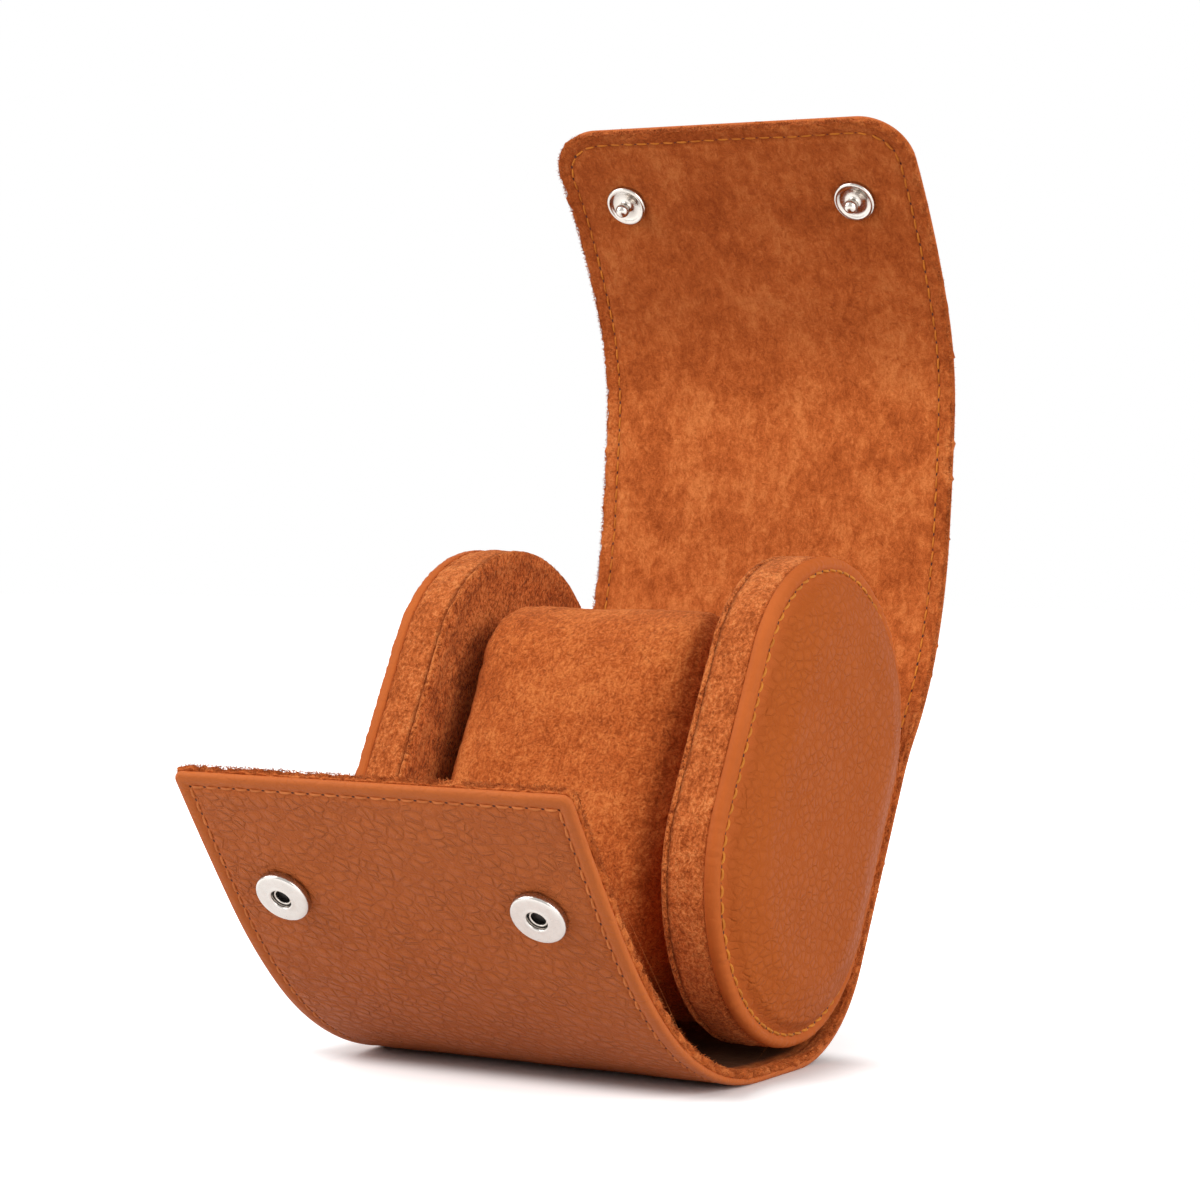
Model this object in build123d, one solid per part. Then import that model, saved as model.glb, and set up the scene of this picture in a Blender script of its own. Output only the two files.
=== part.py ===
from build123d import *

import os
from dataclasses import dataclass
from math import cos, radians, sin

# Watch roll for one watch, stood open with its lid up.
# A leather wrap lined with suede runs from the front flap, under two padded end caps,
# up their backs and on into the lid. A suede pillow for the watch sits between the caps.
# Two snap sockets on the front flap take two studs inside the lid.
# X runs across the roll, +Y to the back, +Z up, all in millimetres.

# the wrap: its width and the two layers it is made of
WRAP_WIDTH = 88.0
LEATHER = 1.6
LINING = 1.2
WRAP = LEATHER + LINING
LINING_INSET = 0.4
EDGE_ROUNDING = 0.7
FOLD_GAP = 0.3

# outer line of the wrap: a flat base, then arcs given as (length, turn in degrees)
BASE_FRONT = -18.0
BASE_BACK = 11.0
FRONT_FOLD_Y = -10.0
BACK_BEND_RADIUS = 17.37
WALL_SLOPE = 62.6
WALL_LENGTH = 53.4
FRONT_LOWER = [(24.0, 23.3)]
FRONT_MIDDLE = [(24.0, 20.0)]
FRONT_UPPER = [(24.0, 9.9), (33.0, 2.2)]
LID_PARTS = [
    [(10.0, -10.5)],
    [(25.0, 18.6)],
    [(25.0, 14.4)],
    [(25.0, 5.0)],
    [(25.0, 24.0)],
    [(49.0, 17.0)],
]
LID_CORNER = 11.5
FRONT_CORNER = 2.0

# stitching: how far in from the edge, and the groove the thread lies in
STITCH_INSET = 3.2
THREAD = 0.6
THREAD_HEIGHT = 0.35
THREAD_FIT = 0.1

# end caps: a stadium with slightly flattened ends, leaning back against the wall
CAP_HALF_DEPTH = 36.4
CAP_STRAIGHT = 34.0
CAP_END = 34.5
CAP_ABOVE_WALL_END = 22.4
CAP_SEAM = 0.05
CAP_INNER_X = 31.7
CAP_COVER_X = 40.2
CAP_FACE_X = 44.0
PANEL = 1.2
BAND = 1.2
COVER_ROUNDING = 2.2
COVER_THICKNESS = 1.4
CAP_STITCH_INSET = 3.3

# the padded dome inside the stitching, as (inset from the outline, height over the face)
CAP_DOME = [(4.5, -0.05), (5.9, 2.1), (10.5, 3.3), (19.0, 3.7)]

# pillow: width across the roll, and its section in the leaning frame of the caps
PILLOW_HALF_WIDTH = 26.2
PILLOW_BACK = 33.5
PILLOW_FRONT = -32.6
PILLOW_TOP = 34.0
PILLOW_BOTTOM = -46.0
PILLOW_CROWN = 1.6
PILLOW_TOP_CORNER = 15.0
PILLOW_BOTTOM_CORNER = 22.0
PILLOW_RIM = 3.0
PILLOW_SUEDE = 1.2
PILLOW_TRAVEL = 8.0

# snaps
SNAP_X = 28.75
SOCKET_FROM_EDGE = 28.5
STUD_FROM_EDGE = 19.4
SOCKET_DIAMETER = 11.6
SOCKET_HEIGHT = 2.0
SOCKET_SEAT = 0.2
SOCKET_BORE = 4.3
SOCKET_BORE_DEPTH = 3.2
SOCKET_BARREL = 6.4
SPRING_WIRE = 0.4
SPRING_OFFSET = 1.9
SPRING_LENGTH = 4.2
SPRING_DEPTH = 0.7
STUD_DIAMETER = 9.6
STUD_HEIGHT = 1.0
STUD_SEAT = 0.3
STUD_NECK = 2.2
STUD_NECK_LENGTH = 0.4
STUD_BALL = 3.2
STUD_POST = 3.0
BACK_PLATE = 0.6
SOCKET_BACK_DIAMETER = 10.6
STUD_BACK_DIAMETER = 9.0


@dataclass
class Run:
    """One length of the wrap, walked along its outer line in the YZ plane.

    y, z and heading (degrees) give the start; pieces are (length, turn) arcs, each turning
    towards the lined side. side is +1 for the run to the back and -1 for the run to the
    front, which is walked in mirrored Y.
    """

    y: float
    z: float
    heading: float
    pieces: list
    side: int

    @property
    def length(self):
        return sum(length for length, _ in self.pieces)

    def station(self, distance):
        """Position and heading of the outer line at a distance, carried on past its ends."""
        y, z, heading = self.y, self.z, self.heading
        last = len(self.pieces) - 1
        for index, (length, turn) in enumerate(self.pieces):
            part = distance if index == last else min(distance, length)
            angle = radians(heading)
            bend = radians(turn * part / length)
            if abs(bend) < 1e-9:
                y += part * cos(angle)
                z += part * sin(angle)
            else:
                radius = part / bend
                y += radius * (sin(angle + bend) - sin(angle))
                z += radius * (cos(angle) - cos(angle + bend))
            heading += turn * part / length
            distance -= part
            if distance <= 1e-9:
                break
        return y, z, heading

    def point(self, distance, depth):
        """Point at a depth below the outer line, as (x, y, z) with x = 0."""
        y, z, heading = self.station(distance)
        angle = radians(heading)
        return (0.0, self.side * (y - depth * sin(angle)), z + depth * cos(angle))

    def inward(self, distance):
        """Unit normal pointing to the lined side."""
        angle = radians(self.station(distance)[2])
        return (0.0, -self.side * sin(angle), cos(angle))

    def breaks(self, start, end):
        """Distances where arcs meet, between start and end."""
        marks = [start]
        reached = 0.0
        for length, _ in self.pieces:
            reached += length
            if start < reached < end - 1e-6:
                marks.append(reached)
        return marks + [end]

    def edges(self, start, end, depth):
        """Arcs of the line at one depth, from start to end."""
        marks = self.breaks(start, end)
        found = []
        for near, far in zip(marks, marks[1:]):
            middle = self.point((near + far) / 2, depth)
            ends = self.point(near, depth), self.point(far, depth)
            chord = Vector(*ends[1]) - Vector(*ends[0])
            bow = (Vector(*middle) - Vector(*ends[0])).cross(chord.normalized()).length
            found.append(Line(*ends) if bow < 1e-6 else ThreePointArc(ends[0], middle, ends[1]))
        return found

    def strip(self, depths, width, start=0.0, end=None, corner=0.0):
        """Solid between two depths, as wide as asked, with its far corners rounded."""
        end = self.length if end is None else end
        shallow, deep = depths
        outline = self.edges(start, end, shallow)
        outline.append(Line(self.point(end, shallow), self.point(end, deep)))
        outline += self.edges(start, end, deep)
        outline.append(Line(self.point(start, deep), self.point(start, shallow)))
        solid = extrude(make_face(outline), amount=width / 2, dir=(1, 0, 0), both=True)
        if corner:
            tip = Vector(*self.point(end, (shallow + deep) / 2))
            sides = [
                edge
                for edge in solid.edges()
                if abs(abs(edge.center().X) - width / 2) < 1e-6
                and (edge.center() - Vector(edge.center().X, tip.Y, tip.Z)).length < 0.02
            ]
            solid = fillet(sides, corner)
        return solid

    def onward(self, pieces):
        """The next run, starting where this one ends."""
        y, z, heading = self.station(self.length)
        return Run(y, z, heading, pieces, self.side)

    def plane(self, distance, depth, x):
        """Plane whose Z points away from the lined side, at a place on the wrap."""
        origin = Vector(*self.point(distance, depth)) + Vector(x, 0, 0)
        outward = -Vector(*self.inward(distance))
        return Plane(origin=origin, x_dir=(1, 0, 0), z_dir=outward)


def stitch_frame(run, depths, inset, width, start, end, corner):
    """Two rails along a run, joined across its far end where the run has one."""
    half = width / 2
    tip = corner > 0
    outer_end = end - (inset - half) if tip else end
    inner_end = end - (inset + half) if tip else end
    outer = run.strip(
        depths,
        WRAP_WIDTH - 2 * (inset - half),
        start,
        outer_end,
        max(corner - inset + half, 0) if tip else 0,
    )
    inner = run.strip(
        depths,
        WRAP_WIDTH - 2 * (inset + half),
        start,
        inner_end,
        max(corner - inset - half, 0) if tip else 0,
    )
    return outer - inner


def wrap_layers(run, corner=0.0):
    """Leather, lining and both rows of thread of one run of the wrap."""
    start = FOLD_GAP / 2
    end = run.length if corner else run.length - FOLD_GAP / 2
    trim = LINING_INSET if corner else 0.0
    leather = run.strip((0, LEATHER), WRAP_WIDTH, start, end, corner)
    rim = [
        edge
        for edge in leather.edges()
        if abs(abs(edge.center().X) - WRAP_WIDTH / 2) < 1e-6
        and edge.length > 3
        and on_outer_line(run, edge)
    ]
    leather = fillet(rim, EDGE_ROUNDING)
    lining_width = WRAP_WIDTH - 2 * LINING_INSET
    lining = run.strip((LEATHER, WRAP), lining_width, start, end - trim, corner)
    past_end = end if corner else end + 0.2
    threads = []
    for face, sign in ((0.0, 1), (WRAP, -1)):
        seat = (face - sign * 0.5, face + sign * (THREAD_HEIGHT + THREAD_FIT))
        cord = (face + sign * THREAD_FIT / 2, face + sign * (THREAD_HEIGHT + THREAD_FIT / 2))
        groove = stitch_frame(
            run, seat, STITCH_INSET, THREAD + 2 * THREAD_FIT, start - 0.2, past_end, corner
        )
        thread = stitch_frame(run, cord, STITCH_INSET, THREAD, start, end, corner)
        threads += thread.solids()
        if sign > 0:
            leather -= groove
        else:
            lining -= groove
    return leather, lining, Compound(threads)


def on_outer_line(run, edge):
    """Whether an edge lies on the leather's outer face."""
    middle = edge.position_at(0.5)
    steps = [run.length * k / 400 for k in range(401)]
    nearest = min(
        (Vector(*run.point(step, 0)) - Vector(0, middle.Y, middle.Z)).length for step in steps
    )
    return nearest < LEATHER / 4


def cap_plane(x):
    """Plane of a cap: local X runs to the wall, local Y up along the cap, Z along +X."""
    return Plane(origin=(x, CAP_Y, CAP_Z), x_dir=(0, cos(LEAN), -sin(LEAN)), z_dir=(1, 0, 0))


def cap_outline(inset):
    """Outline of a cap drawn in by an even amount."""
    depth = CAP_HALF_DEPTH - inset
    rise = CAP_END - inset
    half = CAP_STRAIGHT / 2
    return make_face(
        [
            EllipticalCenterArc((0, half), depth, rise, start_angle=0, arc_size=180),
            Line((-depth, half), (-depth, -half)),
            EllipticalCenterArc((0, -half), depth, rise, start_angle=180, arc_size=180),
            Line((depth, -half), (depth, half)),
        ]
    )


def cap_slab(inset, near, far):
    """A plate of cap outline between two X planes."""
    return extrude(cap_plane(near) * cap_outline(inset), amount=far - near, dir=(1, 0, 0))


def cap_ring(outer, inner, near, far):
    """A ring between two insets of the cap outline."""
    return cap_slab(outer, near, far) - cap_slab(inner, near - 1, far + 1)


def cap_dome(x, inset):
    """The padded dome, standing on the X plane given and drawn in by an even amount."""
    return loft([cap_plane(x + rise) * cap_outline(edge + inset) for edge, rise in CAP_DOME])


def build_cap():
    """The six pieces of the right cap."""
    panel = cap_slab(0.3, CAP_INNER_X, CAP_INNER_X + PANEL)
    band = cap_ring(0, BAND, CAP_INNER_X + PANEL, CAP_COVER_X)
    core = cap_slab(BAND, CAP_INNER_X + PANEL, CAP_COVER_X)
    cover = cap_slab(0, CAP_COVER_X, CAP_FACE_X)
    face_rim = cover.edges().filter_by_position(Axis.X, CAP_FACE_X - 0.01, CAP_FACE_X + 0.01)
    cover = fillet(face_rim, COVER_ROUNDING)
    foam_x = CAP_FACE_X - COVER_THICKNESS
    pad = cap_slab(CAP_DOME[0][0] + COVER_THICKNESS, CAP_COVER_X, foam_x)
    pad += cap_dome(foam_x, COVER_THICKNESS)
    half = THREAD / 2
    seat = CAP_FACE_X - THREAD_HEIGHT - THREAD_FIT
    groove = cap_ring(
        CAP_STITCH_INSET - half - THREAD_FIT,
        CAP_STITCH_INSET + half + THREAD_FIT,
        seat,
        CAP_FACE_X + 1,
    )
    thread = cap_ring(
        CAP_STITCH_INSET - half,
        CAP_STITCH_INSET + half,
        seat + THREAD_FIT / 2,
        CAP_FACE_X - THREAD_FIT / 2,
    )
    return {
        "inner_panel": panel,
        "band": band,
        "core": core,
        "pad": pad,
        "cover": cover + cap_dome(CAP_FACE_X, 0.0) - pad - groove,
        "stitching": thread,
    }


def pillow_section(inset):
    """Section of the pillow: bowed sides with rounded corners."""
    back, front = PILLOW_BACK - inset - PILLOW_CROWN, PILLOW_FRONT + inset + PILLOW_CROWN
    top, bottom = PILLOW_TOP - inset - PILLOW_CROWN, PILLOW_BOTTOM + inset + PILLOW_CROWN
    middle_t, middle_w = (back + front) / 2, (top + bottom) / 2
    face = make_face(
        [
            ThreePointArc((back, bottom), (back + PILLOW_CROWN, middle_w), (back, top)),
            ThreePointArc((back, top), (middle_t, top + PILLOW_CROWN), (front, top)),
            ThreePointArc((front, top), (front - PILLOW_CROWN, middle_w), (front, bottom)),
            ThreePointArc((front, bottom), (middle_t, bottom - PILLOW_CROWN), (back, bottom)),
        ]
    )
    upper = [v for v in face.vertices() if v.Y > middle_w]
    face = fillet(upper, PILLOW_TOP_CORNER - inset)
    lower = [v for v in face.vertices() if abs(v.Y - bottom) < 1e-6]
    return fillet(lower, PILLOW_BOTTOM_CORNER - inset)


def pillow_block(inset):
    """The pillow drawn in by an even amount, with softly rounded end rims."""
    reach = PILLOW_HALF_WIDTH - inset
    block = extrude(cap_plane(-reach) * pillow_section(inset), amount=2 * reach, dir=(1, 0, 0))
    rims = [edge for edge in block.edges() if abs(abs(edge.center().X) - reach) < 1e-6]
    return fillet(rims, PILLOW_RIM - inset)


def build_pillow():
    """Foam core, suede sleeve and the two suede end panels."""
    core = pillow_block(PILLOW_SUEDE)
    skin = pillow_block(0) - core
    reach = PILLOW_HALF_WIDTH - PILLOW_RIM
    middle = Pos(0, CAP_Y, CAP_Z) * Box(2 * reach, 300, 300)
    ends = (skin - middle).solids()
    return {
        "pillow_core": core,
        "pillow_sleeve": skin & middle,
        "pillow_left_end": min(ends, key=lambda solid: solid.center().X),
        "pillow_right_end": max(ends, key=lambda solid: solid.center().X),
    }


def cylinder(diameter, near, far):
    """Upright cylinder between two heights."""
    return Pos(0, 0, (near + far) / 2) * Cylinder(diameter / 2, far - near)


def socket():
    """Snap socket, its face at +Z and its barrel going down through the leather."""
    disc = cylinder(SOCKET_DIAMETER, -SOCKET_SEAT, SOCKET_HEIGHT)
    disc = fillet(disc.edges().group_by(Axis.Z)[-1], 0.6)
    barrel = cylinder(SOCKET_BARREL, SOCKET_HEIGHT - SOCKET_BORE_DEPTH - 0.3, 0)
    bore = cylinder(SOCKET_BORE, SOCKET_HEIGHT - SOCKET_BORE_DEPTH, SOCKET_HEIGHT + 1)
    slots = [
        Pos(side * SPRING_OFFSET, 0, SOCKET_HEIGHT - SPRING_DEPTH)
        * Box(SPRING_WIRE + 0.1, SPRING_LENGTH + 0.2, SPRING_WIRE + 0.1)
        for side in (-1, 1)
    ]
    return disc + barrel - bore - slots


def spring():
    """The two straight runs of spring wire either side of the bore."""
    wire = Rot(90, 0, 0) * Cylinder(SPRING_WIRE / 2, SPRING_LENGTH)
    height = SOCKET_HEIGHT - SPRING_DEPTH
    return [Pos(side * SPRING_OFFSET, 0, height) * wire for side in (-1, 1)]


def stud():
    """Snap stud: a disc with a ball on a short neck, its post going down."""
    disc = cylinder(STUD_DIAMETER, -STUD_SEAT, STUD_HEIGHT)
    disc = fillet(disc.edges().group_by(Axis.Z)[-1], 0.45)
    reach = (STUD_BALL**2 - STUD_NECK**2) ** 0.5 / 2
    ball_height = STUD_HEIGHT + STUD_NECK_LENGTH + reach
    neck = cylinder(STUD_NECK, 0, ball_height)
    post = cylinder(STUD_POST, -LINING, 0)
    return disc + neck + post + Pos(0, 0, ball_height) * Sphere(STUD_BALL / 2)


def add_snaps(pieces, front_run, lid_run):
    """Cut the seats for the snaps and add the snaps themselves."""
    sockets, springs, socket_backs, studs, stud_backs = [], [], [], [], []
    socket_at = front_run.length - SOCKET_FROM_EDGE
    stud_at = lid_run.length - STUD_FROM_EDGE
    barrel_end = SOCKET_BORE_DEPTH + 0.3 - SOCKET_HEIGHT
    for x in (-SNAP_X, SNAP_X):
        place = front_run.plane(socket_at, 0, x)
        sockets.append(place * socket())
        springs += [place * wire for wire in spring()]
        plate = cylinder(SOCKET_BACK_DIAMETER, -barrel_end, -barrel_end + BACK_PLATE)
        hole = cylinder(SOCKET_BARREL, -LEATHER - 1, 1)
        socket_backs.append(place * (plate - hole))
        pieces["front_upper_leather"] -= place * cylinder(SOCKET_DIAMETER, -SOCKET_SEAT, 3)
        pieces["front_upper_leather"] -= place * hole
        pieces["front_upper_leather"] -= place * cylinder(
            SOCKET_BACK_DIAMETER, -LEATHER - 1, -barrel_end + BACK_PLATE
        )

        place = lid_run.plane(stud_at, WRAP, x)
        inner = Plane(origin=place.origin, x_dir=place.x_dir, z_dir=-place.z_dir)
        studs.append(inner * stud())
        stud_backs.append(
            inner * cylinder(STUD_BACK_DIAMETER, -LINING - BACK_PLATE, -LINING)
        )
        pieces["lid_6_lining"] -= inner * cylinder(STUD_DIAMETER, -STUD_SEAT, 3)
        pieces["lid_6_lining"] -= inner * cylinder(STUD_POST, -LINING - 1, 0)
        pieces["lid_6_leather"] -= inner * cylinder(
            STUD_BACK_DIAMETER, -LINING - BACK_PLATE, -LINING + 1
        )
        pieces["lid_6_lining"] -= inner * cylinder(
            STUD_BACK_DIAMETER, -LINING - BACK_PLATE, -LINING
        )
    pieces["snap_sockets"] = Compound(sockets)
    pieces["snap_socket_springs"] = Compound(springs)
    pieces["snap_socket_backs"] = Compound(socket_backs)
    pieces["snap_studs"] = Compound(studs)
    pieces["snap_stud_backs"] = Compound(stud_backs)


LEAN = radians(90 - WALL_SLOPE)

# the fixed length under and behind the caps, walked to the back from the front fold
back_bend = BACK_BEND_RADIUS * radians(WALL_SLOPE)
case_pieces = [(BASE_BACK - FRONT_FOLD_Y, 0.0), (back_bend, WALL_SLOPE), (WALL_LENGTH, 0.0)]
case_run = Run(FRONT_FOLD_Y, 0.0, 0.0, case_pieces, 1)

# the lengths of the front flap, walked forwards in mirrored Y, and those of the lid
first_front = [(FRONT_FOLD_Y - BASE_FRONT, 0.0)] + FRONT_LOWER
front_runs = [Run(-FRONT_FOLD_Y, 0.0, 0.0, first_front, -1)]
front_runs.append(front_runs[-1].onward(FRONT_MIDDLE))
front_runs.append(front_runs[-1].onward(FRONT_UPPER))
lid_runs = [case_run.onward(LID_PARTS[0])]
for part in LID_PARTS[1:]:
    lid_runs.append(lid_runs[-1].onward(part))

# centre of the caps, so that their backs rest on the lined face of the wall
wall_end = case_run.point(case_run.length, WRAP)
reach = CAP_HALF_DEPTH + CAP_SEAM
CAP_Y = wall_end[1] - reach * cos(LEAN) - CAP_ABOVE_WALL_END * sin(LEAN)
CAP_Z = wall_end[2] + reach * sin(LEAN) - CAP_ABOVE_WALL_END * cos(LEAN)


def build():
    """Every piece by name."""
    pieces = {}
    runs = {"case": (case_run, 0.0)}
    runs["front_lower"] = (front_runs[0], 0.0)
    runs["front_middle"] = (front_runs[1], 0.0)
    runs["front_upper"] = (front_runs[2], FRONT_CORNER)
    for number, run in enumerate(lid_runs, start=1):
        runs[f"lid_{number}"] = (run, LID_CORNER if number == len(lid_runs) else 0.0)
    for name, (run, corner) in runs.items():
        leather, lining, thread = wrap_layers(run, corner)
        pieces[f"{name}_leather"] = leather
        pieces[f"{name}_lining"] = lining
        pieces[f"{name}_stitching"] = thread
    add_snaps(pieces, front_runs[-1], lid_runs[-1])
    for name, piece in build_cap().items():
        pieces[f"right_cap_{name}"] = piece
        pieces[f"left_cap_{name}"] = mirror(piece, about=Plane.YZ)
    pieces.update(build_pillow())
    return pieces


pieces = build()
extent = Compound([solid for piece in pieces.values() for solid in piece.solids()]).bounding_box()
SHIFT_Y = -(extent.min.Y + extent.max.Y) / 2

os.makedirs("parts", exist_ok=True)
for name, piece in pieces.items():
    placed = [Pos(0, SHIFT_Y, 0) * solid for solid in piece.solids()]
    body = placed[0] if len(placed) == 1 else Compound(placed)
    export_step(body, f"parts/{name}.step")
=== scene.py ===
"""Watch roll: a leather wrap lined with suede, two padded end caps, a suede pillow and nickel snaps.

Lengths in this file are millimetres until a mesh is made, and metres from there on. X runs
across the roll, +Y to the back, +Z up.
"""
import logging
import math
from collections.abc import Callable, Sequence
from dataclasses import dataclass, field
from enum import Enum

import bmesh
import bpy
import numpy as np
from mathutils import Matrix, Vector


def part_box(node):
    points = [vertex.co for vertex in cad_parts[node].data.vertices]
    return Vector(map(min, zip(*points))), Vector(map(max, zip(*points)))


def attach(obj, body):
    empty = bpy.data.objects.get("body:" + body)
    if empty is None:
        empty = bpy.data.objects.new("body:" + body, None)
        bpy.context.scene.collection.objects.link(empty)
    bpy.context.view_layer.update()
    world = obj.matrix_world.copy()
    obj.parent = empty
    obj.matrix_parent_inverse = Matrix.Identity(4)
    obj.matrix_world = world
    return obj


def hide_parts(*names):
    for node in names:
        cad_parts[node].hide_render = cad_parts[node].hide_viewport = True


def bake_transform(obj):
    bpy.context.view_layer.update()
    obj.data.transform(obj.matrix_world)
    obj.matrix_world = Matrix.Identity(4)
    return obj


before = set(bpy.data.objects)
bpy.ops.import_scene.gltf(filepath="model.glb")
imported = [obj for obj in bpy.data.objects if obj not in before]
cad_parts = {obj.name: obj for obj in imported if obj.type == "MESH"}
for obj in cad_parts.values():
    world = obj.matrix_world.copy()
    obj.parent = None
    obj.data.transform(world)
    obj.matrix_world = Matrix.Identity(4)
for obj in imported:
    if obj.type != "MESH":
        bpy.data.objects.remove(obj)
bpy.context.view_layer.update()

Array = np.ndarray
Socket = bpy.types.NodeSocket
Field = Callable[[Array, Array, Array], Array]
Spot = tuple[Array, Array, Array]

MM = 0.001
WRAP_WIDTH = 88.0
LEATHER = 1.6
WRAP = 2.8
FRONT_FOLD_Y = -10.0
FOLD_GAP = 0.3
WALL_SLOPE = 62.6
LEAN = math.radians(90.0 - WALL_SLOPE)
STITCH_INSET = 3.1
SHARP_ANGLE = 55.0

log = logging.getLogger("watch_roll")


class Face(Enum):
    """Which face of the wrap a row of thread or a piece of metal lies on."""

    OUTSIDE = 1
    INSIDE = -1


class Side(Enum):
    """Which end of the roll a cap closes, seen from the front."""

    LEFT = -1
    RIGHT = 1


# Numbers into meshes


def ripple(points: Array, size: float, seed: int, waves: int = 20) -> Array:
    """Smooth noise: the mean of plane waves about one size in seeded directions.

    Args:
        points: Places, with coordinates along the last axis.
        size: Wave length of the main wave.
        seed: Seed of the directions, lengths and phases.
        waves: How many waves are added.

    Returns:
        One value for each place, mostly between -1 and 1.
    """
    rng = np.random.default_rng(seed)
    directions = rng.normal(size=(waves, points.shape[-1]))
    directions /= np.linalg.norm(directions, axis=1, keepdims=True)
    lengths = size * rng.uniform(0.65, 1.5, waves)
    phases = rng.uniform(0.0, 2.0 * math.pi, waves)
    angles = 2.0 * math.pi * points @ (directions / lengths[:, None]).T + phases
    return np.sin(angles).sum(-1) / math.sqrt(waves)


def ease(values: Array, start: float, end: float) -> Array:
    """Smooth step from 0 at start to 1 at end: 3t^2 - 2t^3 with t cut to 0..1."""
    share = np.clip((values - start) / (end - start), 0.0, 1.0)
    return share * share * (3.0 - 2.0 * share)


def bell(values: Array, middle: float, width: float) -> Array:
    """Bell curve exp(-((v - middle) / width)^2)."""
    return np.exp(-(((values - middle) / width) ** 2))


def unit(vectors: Array) -> Array:
    """Vectors scaled to length 1."""
    return vectors / np.maximum(np.linalg.norm(vectors, axis=-1, keepdims=True), 1e-12)


def grid_faces(ids: Array, around: bool) -> Array:
    """Quads between neighbouring rows and columns of a grid of point numbers.

    Args:
        ids: Point numbers, rows by columns.
        around: Whether the last column joins the first.

    Returns:
        Four point numbers for each quad.
    """
    if around:
        ids = np.concatenate([ids, ids[:, :1]], axis=1)
    corners = (ids[:-1, :-1], ids[:-1, 1:], ids[1:, 1:], ids[1:, :-1])
    return np.stack([c.ravel() for c in corners], axis=1)


def grid_ids(points: Array) -> Array:
    """Numbers of a grid's points, in its own rows and columns."""
    rows, columns = points.shape[:2]
    return np.arange(rows * columns).reshape(rows, columns)


def repeated(pattern: list[list[int]], count: int, block: int) -> list[list[int]]:
    """A pattern of faces once for each of some blocks of points, all alike."""
    return [[block * number + corner for corner in face] for number in range(count) for face in pattern]


def walked(path: Array) -> Array:
    """Distance along a path at each of its points."""
    return np.concatenate([[0.0], np.cumsum(np.linalg.norm(np.diff(path, axis=0), axis=1))])


def path_at(path: Array, distances: Array) -> Array:
    """Points of a path at distances along it, straight between its own points."""
    reached = walked(path)
    return np.stack([np.interp(distances, reached, path[:, k]) for k in range(2)], -1)


@dataclass
class Shape:
    """Points in millimetres, faces, and what the finishes read at each point."""

    points: Array
    faces: list[list[int]]
    flat: Array
    border: Array
    finish_of_face: list[int] = field(default_factory=list)

    @classmethod
    def joined(cls, shapes: Sequence["Shape"]) -> "Shape":
        """Several shapes as one, where each face keeps its finish number.

        Args:
            shapes: The shapes, one or more.

        Returns:
            The one shape.
        """
        start = 0
        faces: list[list[int]] = []
        finishes: list[int] = []
        for shape in shapes:
            faces += [[start + corner for corner in face] for face in shape.faces]
            finishes += shape.finish_of_face or [0] * len(shape.faces)
            start += len(shape.points)
        return cls(
            np.concatenate([s.points for s in shapes]),
            faces,
            np.concatenate([s.flat for s in shapes]),
            np.concatenate([s.border for s in shapes]),
            finishes,
        )


def make_piece(
    name: str,
    shape: Shape,
    finishes: Sequence[bpy.types.Material],
    weld: bool = True,
) -> bpy.types.Object:
    """A piece of the roll, with its place in its mesh and its faces turned outwards.

    Args:
        name: Name of the object.
        shape: Points, faces and surface coordinates.
        finishes: Materials, in the order of the shape's finish numbers.
        weld: Whether points in one place become one, and faces are turned outwards.

    Returns:
        The object.
    """
    mesh = bpy.data.meshes.new(name)
    mesh.from_pydata((shape.points * MM).tolist(), [], shape.faces)
    place = mesh.attributes.new("flat_place", "FLOAT_VECTOR", "POINT")
    place.data.foreach_set("vector", shape.flat.astype(np.float32).ravel())
    rim = mesh.attributes.new("border", "FLOAT", "POINT")
    rim.data.foreach_set("value", shape.border.astype(np.float32).ravel())
    for finish in finishes:
        mesh.materials.append(finish)
    if shape.finish_of_face:
        mesh.polygons.foreach_set("material_index", shape.finish_of_face)
    if weld:
        book = bmesh.new()
        book.from_mesh(mesh)
        bmesh.ops.remove_doubles(book, verts=book.verts, dist=2e-7)
        bmesh.ops.recalc_face_normals(book, faces=book.faces)
        book.to_mesh(mesh)
        book.free()
    mesh.shade_smooth()
    mesh.set_sharp_from_angle(angle=math.radians(SHARP_ANGLE))
    piece = bpy.data.objects.new(name, mesh)
    bpy.context.scene.collection.objects.link(piece)
    return piece


# Finishes


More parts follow.
